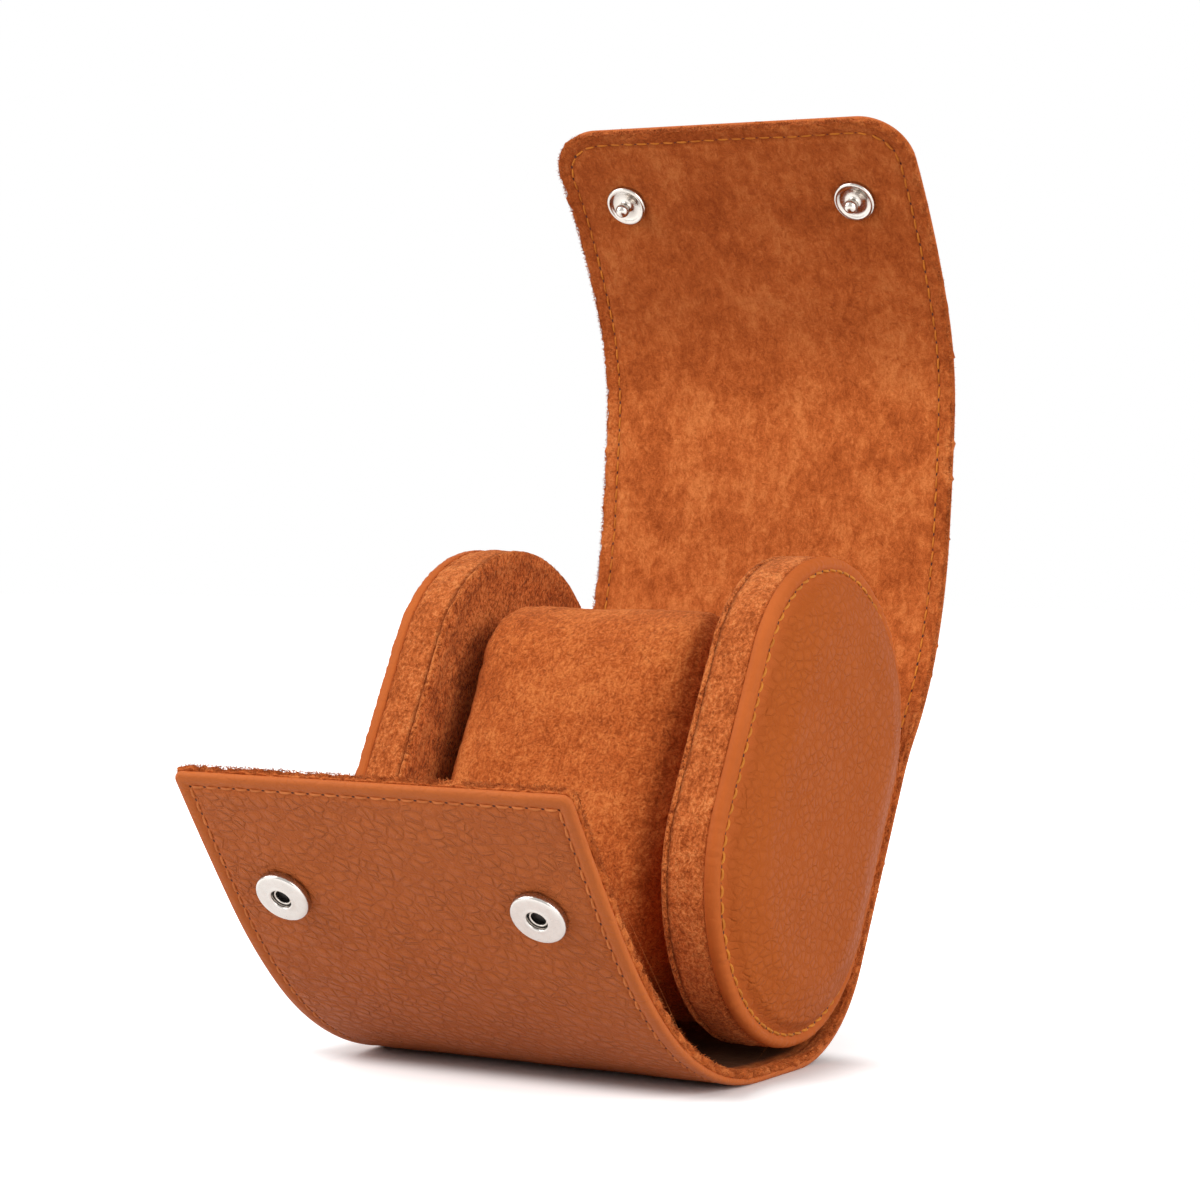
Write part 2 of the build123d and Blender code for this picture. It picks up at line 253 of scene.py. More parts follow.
class Recipe:
    """A node material being put together, read from the surface's own coordinates."""

    def __init__(self, name: str) -> None:
        """Starts a material with a Principled shader and its output.

        Args:
            name: Name of the material.
        """
        self.material = bpy.data.materials.new(name)
        self.material.use_nodes = True
        self.tree = self.material.node_tree
        self.tree.nodes.clear()
        self.output = self.tree.nodes.new("ShaderNodeOutputMaterial")
        self.shader = self.tree.nodes.new("ShaderNodeBsdfPrincipled")
        self.tree.links.new(self.shader.outputs[0], self.output.inputs["Surface"])

    def feed(self, target: Socket, value: object) -> None:
        """Links a socket, or sets its value where it is given a number or colour.

        Args:
            target: The input socket.
            value: An output socket, a number, a vector or a colour.
        """
        if isinstance(value, bpy.types.NodeSocket):
            self.tree.links.new(value, target)
        else:
            target.default_value = value

    def add(self, kind: str, inputs: dict[str | int, object], **settings: object) -> bpy.types.Node:
        """A node with its settings made and its inputs fed.

        Args:
            kind: Blender's name for the node type, without ShaderNode.
            inputs: Socket name or number to a value or an output socket.
            settings: Attributes of the node.

        Returns:
            The node.
        """
        node = self.tree.nodes.new(f"ShaderNode{kind}")
        for key, value in settings.items():
            setattr(node, key, value)
        for key, value in inputs.items():
            self.feed(node.inputs[key], value)
        return node

    def flat_place(self) -> Socket:
        """The surface's own coordinates in millimetres."""
        return self.add("Attribute", {}, attribute_name="flat_place").outputs["Vector"]

    def border(self) -> Socket:
        """1 on the turned edge outside the stitching and 0 inside it."""
        return self.add("Attribute", {}, attribute_name="border").outputs["Fac"]

    def scaled(self, vector: Socket, factors: tuple[float, float, float]) -> Socket:
        """Coordinates multiplied axis by axis."""
        node = self.add("VectorMath", {0: vector, 1: factors}, operation="MULTIPLY")
        return node.outputs["Vector"]

    def bent(self, vector: Socket, scale: float, amount: float) -> Socket:
        """Coordinates pushed about by a noise, so that what follows isn't regular.

        Args:
            vector: The coordinates.
            scale: Scale of the noise.
            amount: How far they are pushed, in millimetres.

        Returns:
            The pushed coordinates.
        """
        noise = self.add("TexNoise", {"Vector": vector, "Scale": scale, "Detail": 2.0})
        centred = self.add(
            "VectorMath", {0: noise.outputs["Color"], 1: (0.5, 0.5, 0.5)}, operation="SUBTRACT"
        )
        pushed = self.add(
            "VectorMath", {0: centred.outputs["Vector"], "Scale": amount}, operation="SCALE"
        )
        return self.add(
            "VectorMath", {0: vector, 1: pushed.outputs["Vector"]}, operation="ADD"
        ).outputs["Vector"]

    def noise(self, vector: Socket, scale: float, detail: float = 3.0, rough: float = 0.55) -> Socket:
        """Noise between 0 and 1.

        Args:
            vector: The coordinates.
            scale: Scale of the noise.
            detail: How many finer layers it has.
            rough: How strong they are.

        Returns:
            The noise.
        """
        node = self.add(
            "TexNoise", {"Vector": vector, "Scale": scale, "Detail": detail, "Roughness": rough}
        )
        return node.outputs["Fac"]

    def cells(self, vector: Socket, scale: float, feature: str = "DISTANCE_TO_EDGE") -> Socket:
        """Distance measured in a pattern of irregular cells."""
        node = self.add("TexVoronoi", {"Vector": vector, "Scale": scale}, feature=feature)
        return node.outputs["Distance"]

    def math(self, operation: str, first: object, second: object = 0.0) -> Socket:
        """One sum on two numbers."""
        return self.add("Math", {0: first, 1: second}, operation=operation).outputs["Value"]

    def span(self, value: Socket, low: float, high: float, to_low: float, to_high: float) -> Socket:
        """A value carried from one span to another, eased at both ends.

        Args:
            value: The value.
            low: Where the span starts.
            high: Where it ends.
            to_low: What the start becomes.
            to_high: What the end becomes.

        Returns:
            The carried value.
        """
        node = self.add(
            "MapRange",
            {"Value": value, "From Min": low, "From Max": high, "To Min": to_low, "To Max": to_high},
            interpolation_type="SMOOTHSTEP",
        )
        return node.outputs["Result"]

    def mix(self, share: object, first: object, second: object) -> Socket:
        """Two colours mixed.

        Args:
            share: Share of the second colour, from 0 to 1.
            first: A colour or a socket.
            second: A colour or a socket.

        Returns:
            The mixed colour.
        """
        node = self.add("Mix", {"Factor": share}, data_type="RGBA")
        self.feed(node.inputs[6], first)
        self.feed(node.inputs[7], second)
        return node.outputs[2]

    def bump(self, height: Socket, depth: float) -> Socket:
        """A bump of a depth in millimetres."""
        node = self.add("Bump", {"Strength": 1.0, "Distance": depth * MM, "Height": height})
        return node.outputs["Normal"]

    def finish(self, **inputs: object) -> bpy.types.Material:
        """Sets the shader's inputs, with _ for a space, and gives the material.

        Args:
            inputs: Input names of the shader, each with a value or a socket.

        Returns:
            The finished material.
        """
        for key, value in inputs.items():
            self.feed(self.shader.inputs[key.replace("_", " ")], value)
        return self.material


Colour = tuple[float, float, float, float]


def srgb(red: float, green: float, blue: float) -> Colour:
    """A colour given in 0..255 as display values, in linear light.

    Args:
        red: Red, 0 to 255.
        green: Green, 0 to 255.
        blue: Blue, 0 to 255.

    Returns:
        Red, green, blue and an alpha of 1.
    """
    values = np.array([red, green, blue]) / 255.0
    linear = np.where(values <= 0.04045, values / 12.92, ((values + 0.055) / 1.055) ** 2.4)
    return (float(linear[0]), float(linear[1]), float(linear[2]), 1.0)


@dataclass(frozen=True)
class PebbledLeather:
    """Tan leather with a soft pebble grain, pressed smooth along its turned edge."""

    name: str = "pebbled_leather"
    colour: Colour = srgb(200, 107, 54)
    valley: Colour = srgb(146, 66, 30)
    edge: Colour = srgb(201, 107, 50)
    faded: Colour = srgb(186, 96, 48)
    grain: float = 2.5
    depth: float = 0.5
    gloss: float = 0.11

    def material(self) -> bpy.types.Material:
        """Slanted rounded pebbles, short creases between them and a slow change of tone.

        Returns:
            The finished material.
        """
        recipe = Recipe(self.name)
        place = recipe.flat_place()
        bent = recipe.bent(place, 0.4, 0.8)
        slanted = recipe.add(
            "Mapping",
            {"Vector": bent, "Rotation": (0.0, 0.0, 0.5), "Scale": (1.18, 0.84, 1.0)},
            vector_type="TEXTURE",
        ).outputs["Vector"]
        pebbles = recipe.cells(slanted, 1.0 / self.grain, "F1")
        valleys = recipe.span(recipe.cells(slanted, 1.0 / self.grain), 0.0, 0.17, 0.0, 1.0)
        round_tops = recipe.span(pebbles, 0.15, 0.8, 1.0, 0.45)
        domes = recipe.math("MULTIPLY", round_tops, recipe.span(valleys, 0.0, 1.0, 0.3, 1.0))
        small = recipe.cells(recipe.bent(place, 0.9, 1.2), 1.5 / self.grain)
        creases = recipe.span(small, 0.0, 0.14, 0.0, 1.0)
        pores = recipe.noise(place, 3.2, 2.0)
        inside = recipe.math("SUBTRACT", 1.0, recipe.math("MULTIPLY", recipe.border(), 0.8))
        patchy = recipe.span(recipe.noise(place, 0.09, 2.0), 0.3, 0.7, 0.75, 1.0)
        strength = recipe.math("MULTIPLY", inside, patchy)
        height = recipe.math("MULTIPLY", domes, strength)
        fine = recipe.math("MULTIPLY", recipe.math("MULTIPLY", creases, strength), 0.22)
        height = recipe.math("ADD", height, fine)
        height = recipe.math("ADD", height, recipe.math("MULTIPLY", pores, 0.14))
        tone = recipe.mix(recipe.border(), self.colour, self.edge)
        low = recipe.math("MULTIPLY", recipe.math("SUBTRACT", 1.0, domes), strength)
        tone = recipe.mix(recipe.math("MULTIPLY", low, 0.36), tone, self.valley)
        slow = recipe.span(recipe.noise(place, 0.05, 3.0), 0.25, 0.75, 0.0, 1.0)
        tone = recipe.mix(recipe.math("MULTIPLY", slow, 0.45), tone, self.faded)
        rough = recipe.math("ADD", recipe.math("MULTIPLY", low, 0.12), 0.52)
        return recipe.finish(
            Base_Color=tone,
            Roughness=rough,
            Normal=recipe.bump(height, self.depth),
            Specular_IOR_Level=self.gloss,
        )


@dataclass(frozen=True)
class BrushedSuede:
    """Rust suede whose nap lies different ways, so that it is mottled light and dark."""

    name: str = "brushed_suede"
    dark: Colour = srgb(142, 62, 21)
    middle: Colour = srgb(196, 99, 45)
    light: Colour = srgb(231, 138, 75)
    patch: float = 13.0
    streak: tuple[float, float, float] = (0.55, 0.28, 0.5)
    clump: float = 0.45
    pit: float = 0.25
    depth: float = 0.34
    seams: tuple[float, ...] = ()
    # Painted shade: marks between which the lining darkens towards the lid's tip, where it faces away
    # from the lamps.
    painted_shade_toward_tip: tuple[float, float] | None = None
    # Painted shade: whether the base's lining is made almost black under the caps.
    painted_hollow_shade: bool = False
    sheen: float = 0.25

    def material(self) -> bpy.types.Material:
        """Broad brushed patches, short streaks, clumps of fibre and tiny pits, in three tones.

        Returns:
            The finished material.
        """
        recipe = Recipe(self.name)
        place = recipe.flat_place()
        bent = recipe.bent(place, 0.3, 2.2)
        patches = recipe.noise(recipe.bent(place, 0.08, 9.0), 1.0 / self.patch, 3.0, 0.6)
        streaks = recipe.noise(recipe.scaled(bent, self.streak), 1.0, 4.0, 0.65)
        fibres = recipe.noise(recipe.scaled(bent, (1.0, 0.6, 1.0)), 1.7, 3.0, 0.7)
        fine = recipe.noise(place, 4.5, 2.0, 0.6)
        pits = recipe.span(recipe.cells(bent, 0.85, "F1"), 0.08, 0.34, 1.0, 0.0)
        shares = ((patches, 0.5), (streaks, 0.5), (fibres, self.clump), (fine, 0.3))
        lie = recipe.math("MULTIPLY", shares[0][0], shares[0][1])
        for part, share in shares[1:]:
            lie = recipe.math("ADD", lie, recipe.math("MULTIPLY", part, share))
        middle = sum(share for _, share in shares) / 2.0
        tone = recipe.add(
            "ValToRGB", {"Fac": recipe.span(lie, middle - 0.3, middle + 0.3, 0.0, 1.0)}
        )
        ramp = tone.color_ramp
        ramp.elements[0].color = self.dark
        ramp.elements[1].color = self.light
        ramp.elements.new(0.5).color = self.middle
        colour = recipe.mix(recipe.math("MULTIPLY", pits, self.pit), tone.outputs["Color"], self.dark)
        height = recipe.math("MULTIPLY", streaks, 0.5)
        for part, share in ((fibres, 0.8), (fine, 0.35), (pits, -0.6 * self.pit)):
            height = recipe.math("ADD", height, recipe.math("MULTIPLY", part, share))
        lumps = recipe.math("MULTIPLY", recipe.noise(place, 1.1, 2.0, 0.6), recipe.border())
        height = recipe.math("ADD", height, recipe.math("MULTIPLY", lumps, 1.1))
        # Painted shade: the raw edge is darker in the dips between its lumps.
        painted_hollow_shade = recipe.math("MULTIPLY", recipe.span(lumps, 0.3, 0.5, 1.0, 0.0), recipe.border())
        colour = recipe.mix(recipe.math("MULTIPLY", painted_hollow_shade, 0.5), colour, self.dark)
        for seam in self.seams:
            colour = self._shaded(recipe, colour, place, seam)
        # Painted shade: darker towards the lid's tip, up to 0.3 of the way to the dark tone.
        if self.painted_shade_toward_tip is not None:
            mark = recipe.add("SeparateXYZ", {0: place}).outputs["Y"]
            colour = recipe.mix(recipe.span(mark, *self.painted_shade_toward_tip, 0.0, 0.3), colour, self.dark)
        # Painted shade under the caps.
        if self.painted_hollow_shade:
            colour = self._painted_shade_under_caps(recipe, colour, place)
        return recipe.finish(
            Base_Color=colour,
            Roughness=0.95,
            Normal=recipe.bump(height, self.depth),
            Specular_IOR_Level=0.12,
            Sheen_Weight=self.sheen,
            Sheen_Roughness=0.45,
            Sheen_Tint=srgb(255, 180, 120),
        )

    def _painted_shade_under_caps(self, recipe: Recipe, colour: Socket, place: Socket) -> Socket:
        """Painted shade: a colour that is almost black on the base under the caps, where no light
        comes.

        Args:
            recipe: The material being put together.
            colour: The colour so far.
            place: The surface coordinates.

        Returns:
            The darkened colour.
        """
        split = recipe.add("SeparateXYZ", {0: place})
        across, mark = split.outputs["X"], split.outputs["Y"]
        inner = recipe.span(recipe.math("ABSOLUTE", across), 38.0, 42.5, 1.0, 0.0)
        front = recipe.span(mark, -40.0, -24.0, 0.0, 1.0)
        ends = recipe.math("MULTIPLY", front, recipe.span(mark, 12.0, 34.0, 1.0, 0.0))
        share = recipe.math("MULTIPLY", recipe.math("MULTIPLY", inner, ends), 0.96)
        # The near black of the painted shade.
        return recipe.mix(share, colour, srgb(34, 12, 5))

    def _shaded(self, recipe: Recipe, colour: Socket, place: Socket, seam: float) -> Socket:
        """A colour darkened unevenly close to a seam, which lies at one third coordinate.

        Args:
            recipe: The material being put together.
            colour: The colour so far.
            place: The surface coordinates.
            seam: Third coordinate of the seam.

        Returns:
            The darkened colour.
        """
        third = recipe.add("SeparateXYZ", {0: place}).outputs["Z"]
        away = recipe.math("ABSOLUTE", recipe.math("SUBTRACT", third, seam))
        wander = recipe.math("MULTIPLY", recipe.noise(place, 0.9, 3.0, 0.7), 1.3)
        near = recipe.span(recipe.math("SUBTRACT", away, wander), -0.6, 0.3, 0.5, 0.0)
        return recipe.mix(near, colour, srgb(92, 34, 8))


@dataclass(frozen=True)
class WaxedThread:
    """Golden brown sewing thread with a faint twist."""

    name: str = "waxed_thread"
    colour: Colour = srgb(244, 148, 82)
    shade: Colour = srgb(176, 92, 44)

    def material(self) -> bpy.types.Material:
        """Fine noise for the plies, and lengths that are lighter or darker.

        Returns:
            The finished material.
        """
        recipe = Recipe(self.name)
        place = recipe.flat_place()
        plies = recipe.noise(place, 3.2, 2.0)
        runs = recipe.span(recipe.noise(place, 0.16, 1.0), 0.35, 0.65, 0.0, 1.0)
        tone = recipe.mix(recipe.math("MULTIPLY", plies, 0.7), self.colour, self.shade)
        tone = recipe.mix(recipe.math("MULTIPLY", runs, 0.45), tone, self.shade)
        return recipe.finish(
            Base_Color=tone,
            Roughness=0.6,
            Normal=recipe.bump(plies, 0.06),
            Specular_IOR_Level=0.15,
        )


@dataclass(frozen=True)
class Nickel:
    """Bright nickel plate with fine scratches."""

    name: str = "bright_nickel"
    colour: Colour = (0.52, 0.49, 0.46, 1.0)

    def material(self) -> bpy.types.Material:
        """Noise in roughness and a very shallow bump.

        Returns:
            The finished material.
        """
        recipe = Recipe(self.name)
        place = recipe.flat_place()
        wear = recipe.noise(recipe.scaled(place, (1.0, 6.0, 1.0)), 1.4, 4.0)
        stain = recipe.span(recipe.noise(place, 0.6, 3.0), 0.35, 0.7, 0.0, 0.22)
        tone = recipe.mix(stain, self.colour, srgb(170, 160, 150))
        return recipe.finish(
            Base_Color=tone,
            Metallic=1.0,
            Roughness=recipe.span(wear, 0.3, 0.7, 0.13, 0.28),
            Normal=recipe.bump(wear, 0.01),
        )


@dataclass(frozen=True)
class PlainMatter:
    """A hidden or dark stuff: one colour broken up by noise."""

    name: str
    colour: Colour
    shade: Colour
    size: float = 1.0
    roughness: float = 0.9

    def material(self) -> bpy.types.Material:
        """Noise in colour and bump, on the object's own coordinates.

        Returns:
            The finished material.
        """
        recipe = Recipe(self.name)
        place = recipe.add("TexCoord", {}).outputs["Object"]
        grain = recipe.noise(place, 1.0 / (self.size * MM), 3.0)
        tone = recipe.mix(grain, self.colour, self.shade)
        return recipe.finish(
            Base_Color=tone, Roughness=self.roughness, Normal=recipe.bump(grain, 0.05)
        )


class Finishes:
    """Every finish of the roll, made once."""

    def __init__(self) -> None:
        """Makes the materials."""
        self.leather = PebbledLeather().material()
        self.cap_leather = PebbledLeather(
            name="cap_leather",
            colour=srgb(180, 91, 38),
            valley=srgb(148, 66, 22),
            edge=srgb(196, 102, 48),
            faded=srgb(172, 84, 34),
            grain=2.1,
            depth=0.24,
            gloss=0.05,
        ).material()
        self.suede = BrushedSuede(
            dark=srgb(144, 62, 20),
            middle=srgb(198, 101, 46),
            light=srgb(233, 140, 76),
            # Painted shade towards the lid's tip.
            painted_shade_toward_tip=(172.0, 204.0),
            # Painted shade on the base under the caps.
            painted_hollow_shade=True,
            sheen=0.05,
        ).material()
        self.panel_suede = BrushedSuede(
            name="panel_suede", dark=srgb(112, 42, 10), patch=8.0, clump=1.1, pit=0.6, depth=0.55
        ).material()
        self.edge_suede = BrushedSuede(
            name="edge_suede",
            dark=srgb(116, 48, 16),
            middle=srgb(182, 92, 42),
            light=srgb(230, 148, 88),
            patch=4.0,
        ).material()
        self.pillow_suede = BrushedSuede(
            name="pillow_suede",
            dark=srgb(140, 60, 18),
            middle=srgb(192, 94, 40),
            light=srgb(224, 132, 68),
            patch=16.0,
            streak=(0.9, 0.5, 0.5),
            clump=0.85,
            pit=0.4,
            depth=0.42,
        ).material()
        self.band_suede = BrushedSuede(
            name="band_suede",
            dark=srgb(146, 64, 20),
            middle=srgb(204, 106, 51),
            light=srgb(234, 145, 82),
            patch=10.0,
            clump=0.9,
            pit=0.5,
            depth=0.42,
            seams=(33.0,),
        ).material()
        self.thread = WaxedThread().material()
        self.bright_thread = WaxedThread(
            name="bright_thread", colour=srgb(224, 140, 48), shade=srgb(184, 98, 36)
        ).material()
        self.cap_thread = WaxedThread(
            name="cap_thread", colour=srgb(228, 148, 56), shade=srgb(164, 92, 34)
        ).material()
        self.nickel = Nickel().material()
        # Painted shade and painted brown reflection: a darker, warmer copy of the nickel for the studs
        # and ring springs.
        self.painted_shade_nickel = Nickel("painted_shade_nickel", (0.5, 0.46, 0.42, 1.0)).material()
        # Painted shade: dark lenses stand in for the shade inside the needle holes.
        self.painted_hole_shade = PlainMatter(
            "painted_hole_shade", srgb(58, 26, 14), srgb(86, 38, 18), 0.3
        ).material()
        # Painted shade: a near-black finish for the cups lining the sockets' bores.
        self.painted_bore_shade = PlainMatter(
            "painted_bore_shade", srgb(30, 26, 24), srgb(52, 46, 42), 0.5, 0.5
        ).material()
        self.board = PlainMatter("grey_board", srgb(150, 132, 106), srgb(128, 110, 88)).material()
        self.foam = PlainMatter("cream_foam", srgb(226, 218, 198), srgb(206, 196, 172)).material()


# The wrap


@dataclass
class ArcLine:
    """A line of arcs in one plane, each given as (length, turn in degrees)."""

    start: tuple[float, float]
    arcs: Sequence[tuple[float, float]]

    def __post_init__(self) -> None:
        """Finds where each arc begins and which way it heads there."""
        lengths = np.array([length for length, _ in self.arcs])
        turns = np.radians([turn for _, turn in self.arcs])
        self.marks = np.concatenate([[0.0], np.cumsum(lengths)])
        self.bends = turns / lengths
        self.headings = np.concatenate([[0.0], np.cumsum(turns)])
        steps = self._step(lengths, self.headings[:-1], self.bends)
        self.corners = np.array(self.start) + np.concatenate([[[0.0, 0.0]], np.cumsum(steps, 0)])

    @staticmethod
    def _step(length: Array, heading: Array, bend: Array) -> Array:
        """Chord of an arc: length * sin(h)/h along heading + h, where h is half its turn.

        Args:
            length: Length of the arc.
            heading: Heading at its start.
            bend: Turn for each millimetre.

        Returns:
            From the start of the arc to its end.
        """
        half = bend * length / 2.0
        chord = length * np.sinc(half / math.pi)
        return np.stack([chord * np.cos(heading + half), chord * np.sin(heading + half)], -1)

    @property
    def length(self) -> float:
        """Length of the whole line."""
        return float(self.marks[-1])

    def at(self, distance: Array) -> tuple[Array, Array]:
        """Places and headings at distances along the line.

        Args:
            distance: Distances from the start.

        Returns:
            Places, and headings in radians.
        """
        index = np.clip(np.searchsorted(self.marks, distance, "right") - 1, 0, len(self.bends) - 1)
        run = distance - self.marks[index]
        place = self.corners[index] + self._step(run, self.headings[index], self.bends[index])
        return place, self.headings[index] + self.bends[index] * run


@dataclass
class WrapLine:
    """Outer line of the wrap, seen from the side.

    A mark is a distance along it: 0 at the front fold of the base, growing up the wall and
    along the lid, and negative along the front flap.
    """

    shift: float
    front_arcs: Sequence[tuple[float, float]] = (
        (6.63, 0.0),
        (24.0, 22.39),
        (24.0, 19.84),
        (24.0, 10.79),
        (33.37, 2.34),
    )
    case_arcs: Sequence[tuple[float, float]] = ((11.22, 0.0), (35.88, 62.21), (44.12, 0.0))
    lid_arcs: Sequence[tuple[float, float]] = (
        (9.81, -11.99),
        (25.0, 20.3),
        (25.0, 14.05),
        (25.0, 3.05),
        (25.0, 26.44),
        (48.93, 17.94),
    )

    def __post_init__(self) -> None:
        """Lays out the run to the back and the run to the front."""
        self.back = ArcLine((FRONT_FOLD_Y, 0.0), [*self.case_arcs, *self.lid_arcs])
        self.front = ArcLine((-FRONT_FOLD_Y, 0.0), self.front_arcs)
        self.front_tip = -self.front.length
        self.lid_tip = self.back.length
        case = sum(length for length, _ in self.case_arcs)
        spans = [length for length, _ in self.lid_arcs]
        self.wall_end = case
        self.lid_folds = [case + sum(spans[:number]) for number in range(len(spans))]
        first, second, third = (length for length, _ in self.front_arcs[:3])
        self.front_folds = (0.0, -(first + second), -(first + second + third))

    def frame(self, mark: Array) -> tuple[Array, Array, Array]:
        """Outer line, direction of growing marks and inward normal, each with x = 0.

        Args:
            mark: Distances along the wrap.

        Returns:
            Places and two rows of unit vectors, one row for each mark.
        """
        mark = np.asarray(mark, float)
        back_place, back_angle = self.back.at(np.maximum(mark, 0.0))
        front_place, front_angle = self.front.at(np.maximum(-mark, 0.0))
        behind = (mark >= 0.0)[..., None]
        sign = np.where(mark >= 0.0, 1.0, -1.0)
        place = np.where(behind, back_place, front_place)
        angle = np.where(mark >= 0.0, back_angle, front_angle)
        none = np.zeros_like(mark)
        line = np.stack([none, sign * place[..., 0] + self.shift, place[..., 1]], -1)
        along = np.stack([none, np.cos(angle), sign * np.sin(angle)], -1)
        inward = np.stack([none, -sign * np.sin(angle), np.cos(angle)], -1)
        return line, along, inward

    def place(self, mark: Array, x: Array, depth: Array) -> Array:
        """Points at marks along the wrap, x across it and a depth below its outer line.

        Args:
            mark: Distance along the wrap.
            x: Place across it.
            depth: Depth below the outer line.

        Returns:
            The points.
        """
        mark, x, depth = np.broadcast_arrays(mark, x, depth)
        line, _, inward = self.frame(mark)
        points = line + depth[..., None] * inward
        points[..., 0] = x
        return points


@dataclass
class Sheet:
    """One layer of the wrap: how far it reaches, how thick it is and how its face swells."""

    line: WrapLine
    half_width: float
    depths: tuple[float, float]
    trim: float
    rounding: float
    relief: Field
    face: Face
    lid_corner: float = 11.5
    front_corner: float = 2.0
    step: float = 1.05
    ragged: float = 0.0

    EDGE_STEPS = (
        0.0, 0.05, 0.14, 0.28, 0.45, 0.65, 0.9, 1.2, 1.5, 1.8, 2.1, 2.4,
        2.7, 2.9, 3.1, 3.3, 3.5, 3.8, 4.3, 5.0, 5.8, 6.8,
    )

    def _tips(self, mark: Array) -> tuple[tuple[Array, float], ...]:
        """Distance from the tip of the lid and from that of the flap, each with its corner.

        Args:
            mark: Distance along the wrap.

        Returns:
            For each tip, the distance from it and the radius of its corners.
        """
        return (
            (self.line.lid_tip - self.trim - mark, self.lid_corner),
            (mark - self.line.front_tip - self.trim, self.front_corner),
        )

    def edge_distance(self, mark: Array, x: Array) -> Array:
        """Distance in from the outline, a rectangle with two rounded corners at each tip.

        Args:
            mark: Distance along the wrap.
            x: Place across it.

        Returns:
            The distance, never below 0.
        """
        side = self.half_width - np.abs(x)
        found = side
        for tip, corner in self._tips(mark):
            rounded = corner - np.hypot(corner - side, corner - tip)
            nearest = np.where((side < corner) & (tip < corner), rounded, np.minimum(side, tip))
            found = np.minimum(found, nearest)
        return np.maximum(found, 0.0)

    def half_at(self, mark: Array) -> Array:
        """Half width at a mark: the full one less what the corners take, R - sqrt(R^2 - (R-e)^2).

        Args:
            mark: Distances along the wrap.

        Returns:
            Half the width at each.
        """
        half = np.full_like(mark, self.half_width)
        for tip, corner in self._tips(mark):
            short = np.clip(corner - tip, 0.0, corner)
            half -= corner - np.sqrt(corner**2 - short**2)
        return half

    def rows(self, near: float, far: float) -> Array:
        """Marks of the rows between two marks, close together at a tip.

        Args:
            near: First mark.
            far: Last mark.

        Returns:
            The marks, growing.
        """
        near = max(near, self.line.front_tip + self.trim)
        far = min(far, self.line.lid_tip - self.trim)
        steps = np.array(self.EDGE_STEPS)
        marks = [np.linspace(near, far, max(2, round((far - near) / self.step) + 1))]
        if near == self.line.front_tip + self.trim:
            marks = [near + steps, marks[0][marks[0] > near + steps[-1] + 0.5]]
        if far == self.line.lid_tip - self.trim:
            marks = [marks[0][marks[0] < far - steps[-1] - 0.5], (far - steps)[::-1]]
        return np.concatenate(marks)

    def columns(self, half: Array) -> Array:
        """Places across the sheet, row by row, close together at both sides.

        Args:
            half: Half the width of each row.

        Returns:
            Places across, rows by columns.
        """
        steps = np.array(self.EDGE_STEPS)
        reach = self.half_width - steps[-1]
        inner = np.linspace(reach, 0.0, round(reach / self.step) + 1)[1:]
        outer = half[:, None] - steps[None, :]
        middle = inner[None, :] / reach * (half[:, None] - steps[-1])
        right = np.concatenate([outer, middle], axis=1)
        return np.concatenate([-right, right[:, -2::-1]], axis=1)

    def depth_of_face(self, mark: Array, x: Array) -> Array:
        """Depth of the seen face below the outer line.

        Args:
            mark: Distance along the wrap.
            x: Place across it.

        Returns:
            The depth.
        """
        outer, inner = self.depths
        inset = self.edge_distance(mark, x)
        swell = self.relief(mark, x, inset)
        thin = self._half_thickness(inset)
        middle = (outer + inner) / 2.0
        return middle - self.face.value * (thin + swell * np.minimum(inset / 0.4, 1.0))

    def _half_thickness(self, inset: Array) -> Array:
        """Half the thickness, falling to nothing in a quarter round at the outline.

        Args:
            inset: Distance in from the outline.

        Returns:
            Half the thickness there.
        """
        half = (self.depths[1] - self.depths[0]) / 2.0
        fall = np.clip(1.0 - inset / self.rounding, 0.0, 1.0)
        return half * np.sqrt(np.maximum(1.0 - fall * fall, 0.0))

    def surface(self, mark: Array, x: Array) -> tuple[Array, Array, Array]:
        """Points on the seen face, the outward normal there and the direction along the wrap.

        Args:
            mark: Distance along the wrap.
            x: Place across it.

        Returns:
            The points and the two rows of unit vectors.
        """
        points = self.line.place(mark, x, self.depth_of_face(mark, x))
        _, along, inward = self.line.frame(np.broadcast_to(mark, points.shape[:-1]))
        return points, -self.face.value * inward, along

    def between(self, near: float, far: float) -> Shape:
        """The part of the sheet between two marks, as a closed shape.

        A row runs round the sheet: across the seen face and back across the hidden one. The
        two faces meet at the outline, and a cut end is closed by a flat wall.

        Args:
            near: First mark.
            far: Last mark.

        Returns:
            The closed shape.
        """
        marks = self.rows(near, far)
        across = self.columns(self.half_at(marks))
        mark = np.broadcast_to(marks[:, None], across.shape)
        seen = self.depth_of_face(mark, across)
        inset = self.edge_distance(mark, across)
        middle = sum(self.depths) / 2.0
        hidden = middle + self.face.value * self._half_thickness(inset)
        count = across.shape[1]
        back = slice(count - 2, 0, -1)
        ring_mark = np.concatenate([mark, mark[:, back]], axis=1)
        ring_x = np.concatenate([across, across[:, back]], axis=1)
        ring_depth = np.concatenate([seen, hidden[:, back]], axis=1)
        ring_inset = np.concatenate([inset, inset[:, back]], axis=1)
        torn = self.ragged * bell(ring_inset, 0.0, 0.9)
        spot = np.stack([ring_x, ring_mark, ring_depth], -1)
        points = self.line.place(
            ring_mark + torn * ripple(spot, 2.4, 21),
            ring_x + torn * ripple(spot, 2.1, 22),
            ring_depth + 0.5 * torn * ripple(spot, 1.9, 23),
        )
        ids = grid_ids(points)
        faces = grid_faces(ids, around=True).tolist()
        tips = (self.line.front_tip + self.trim, self.line.lid_tip - self.trim)
        for row, tip in ((0, tips[0]), (-1, tips[1])):
            if abs(marks[row] - tip) > 1e-9:
                top = ids[row, :count]
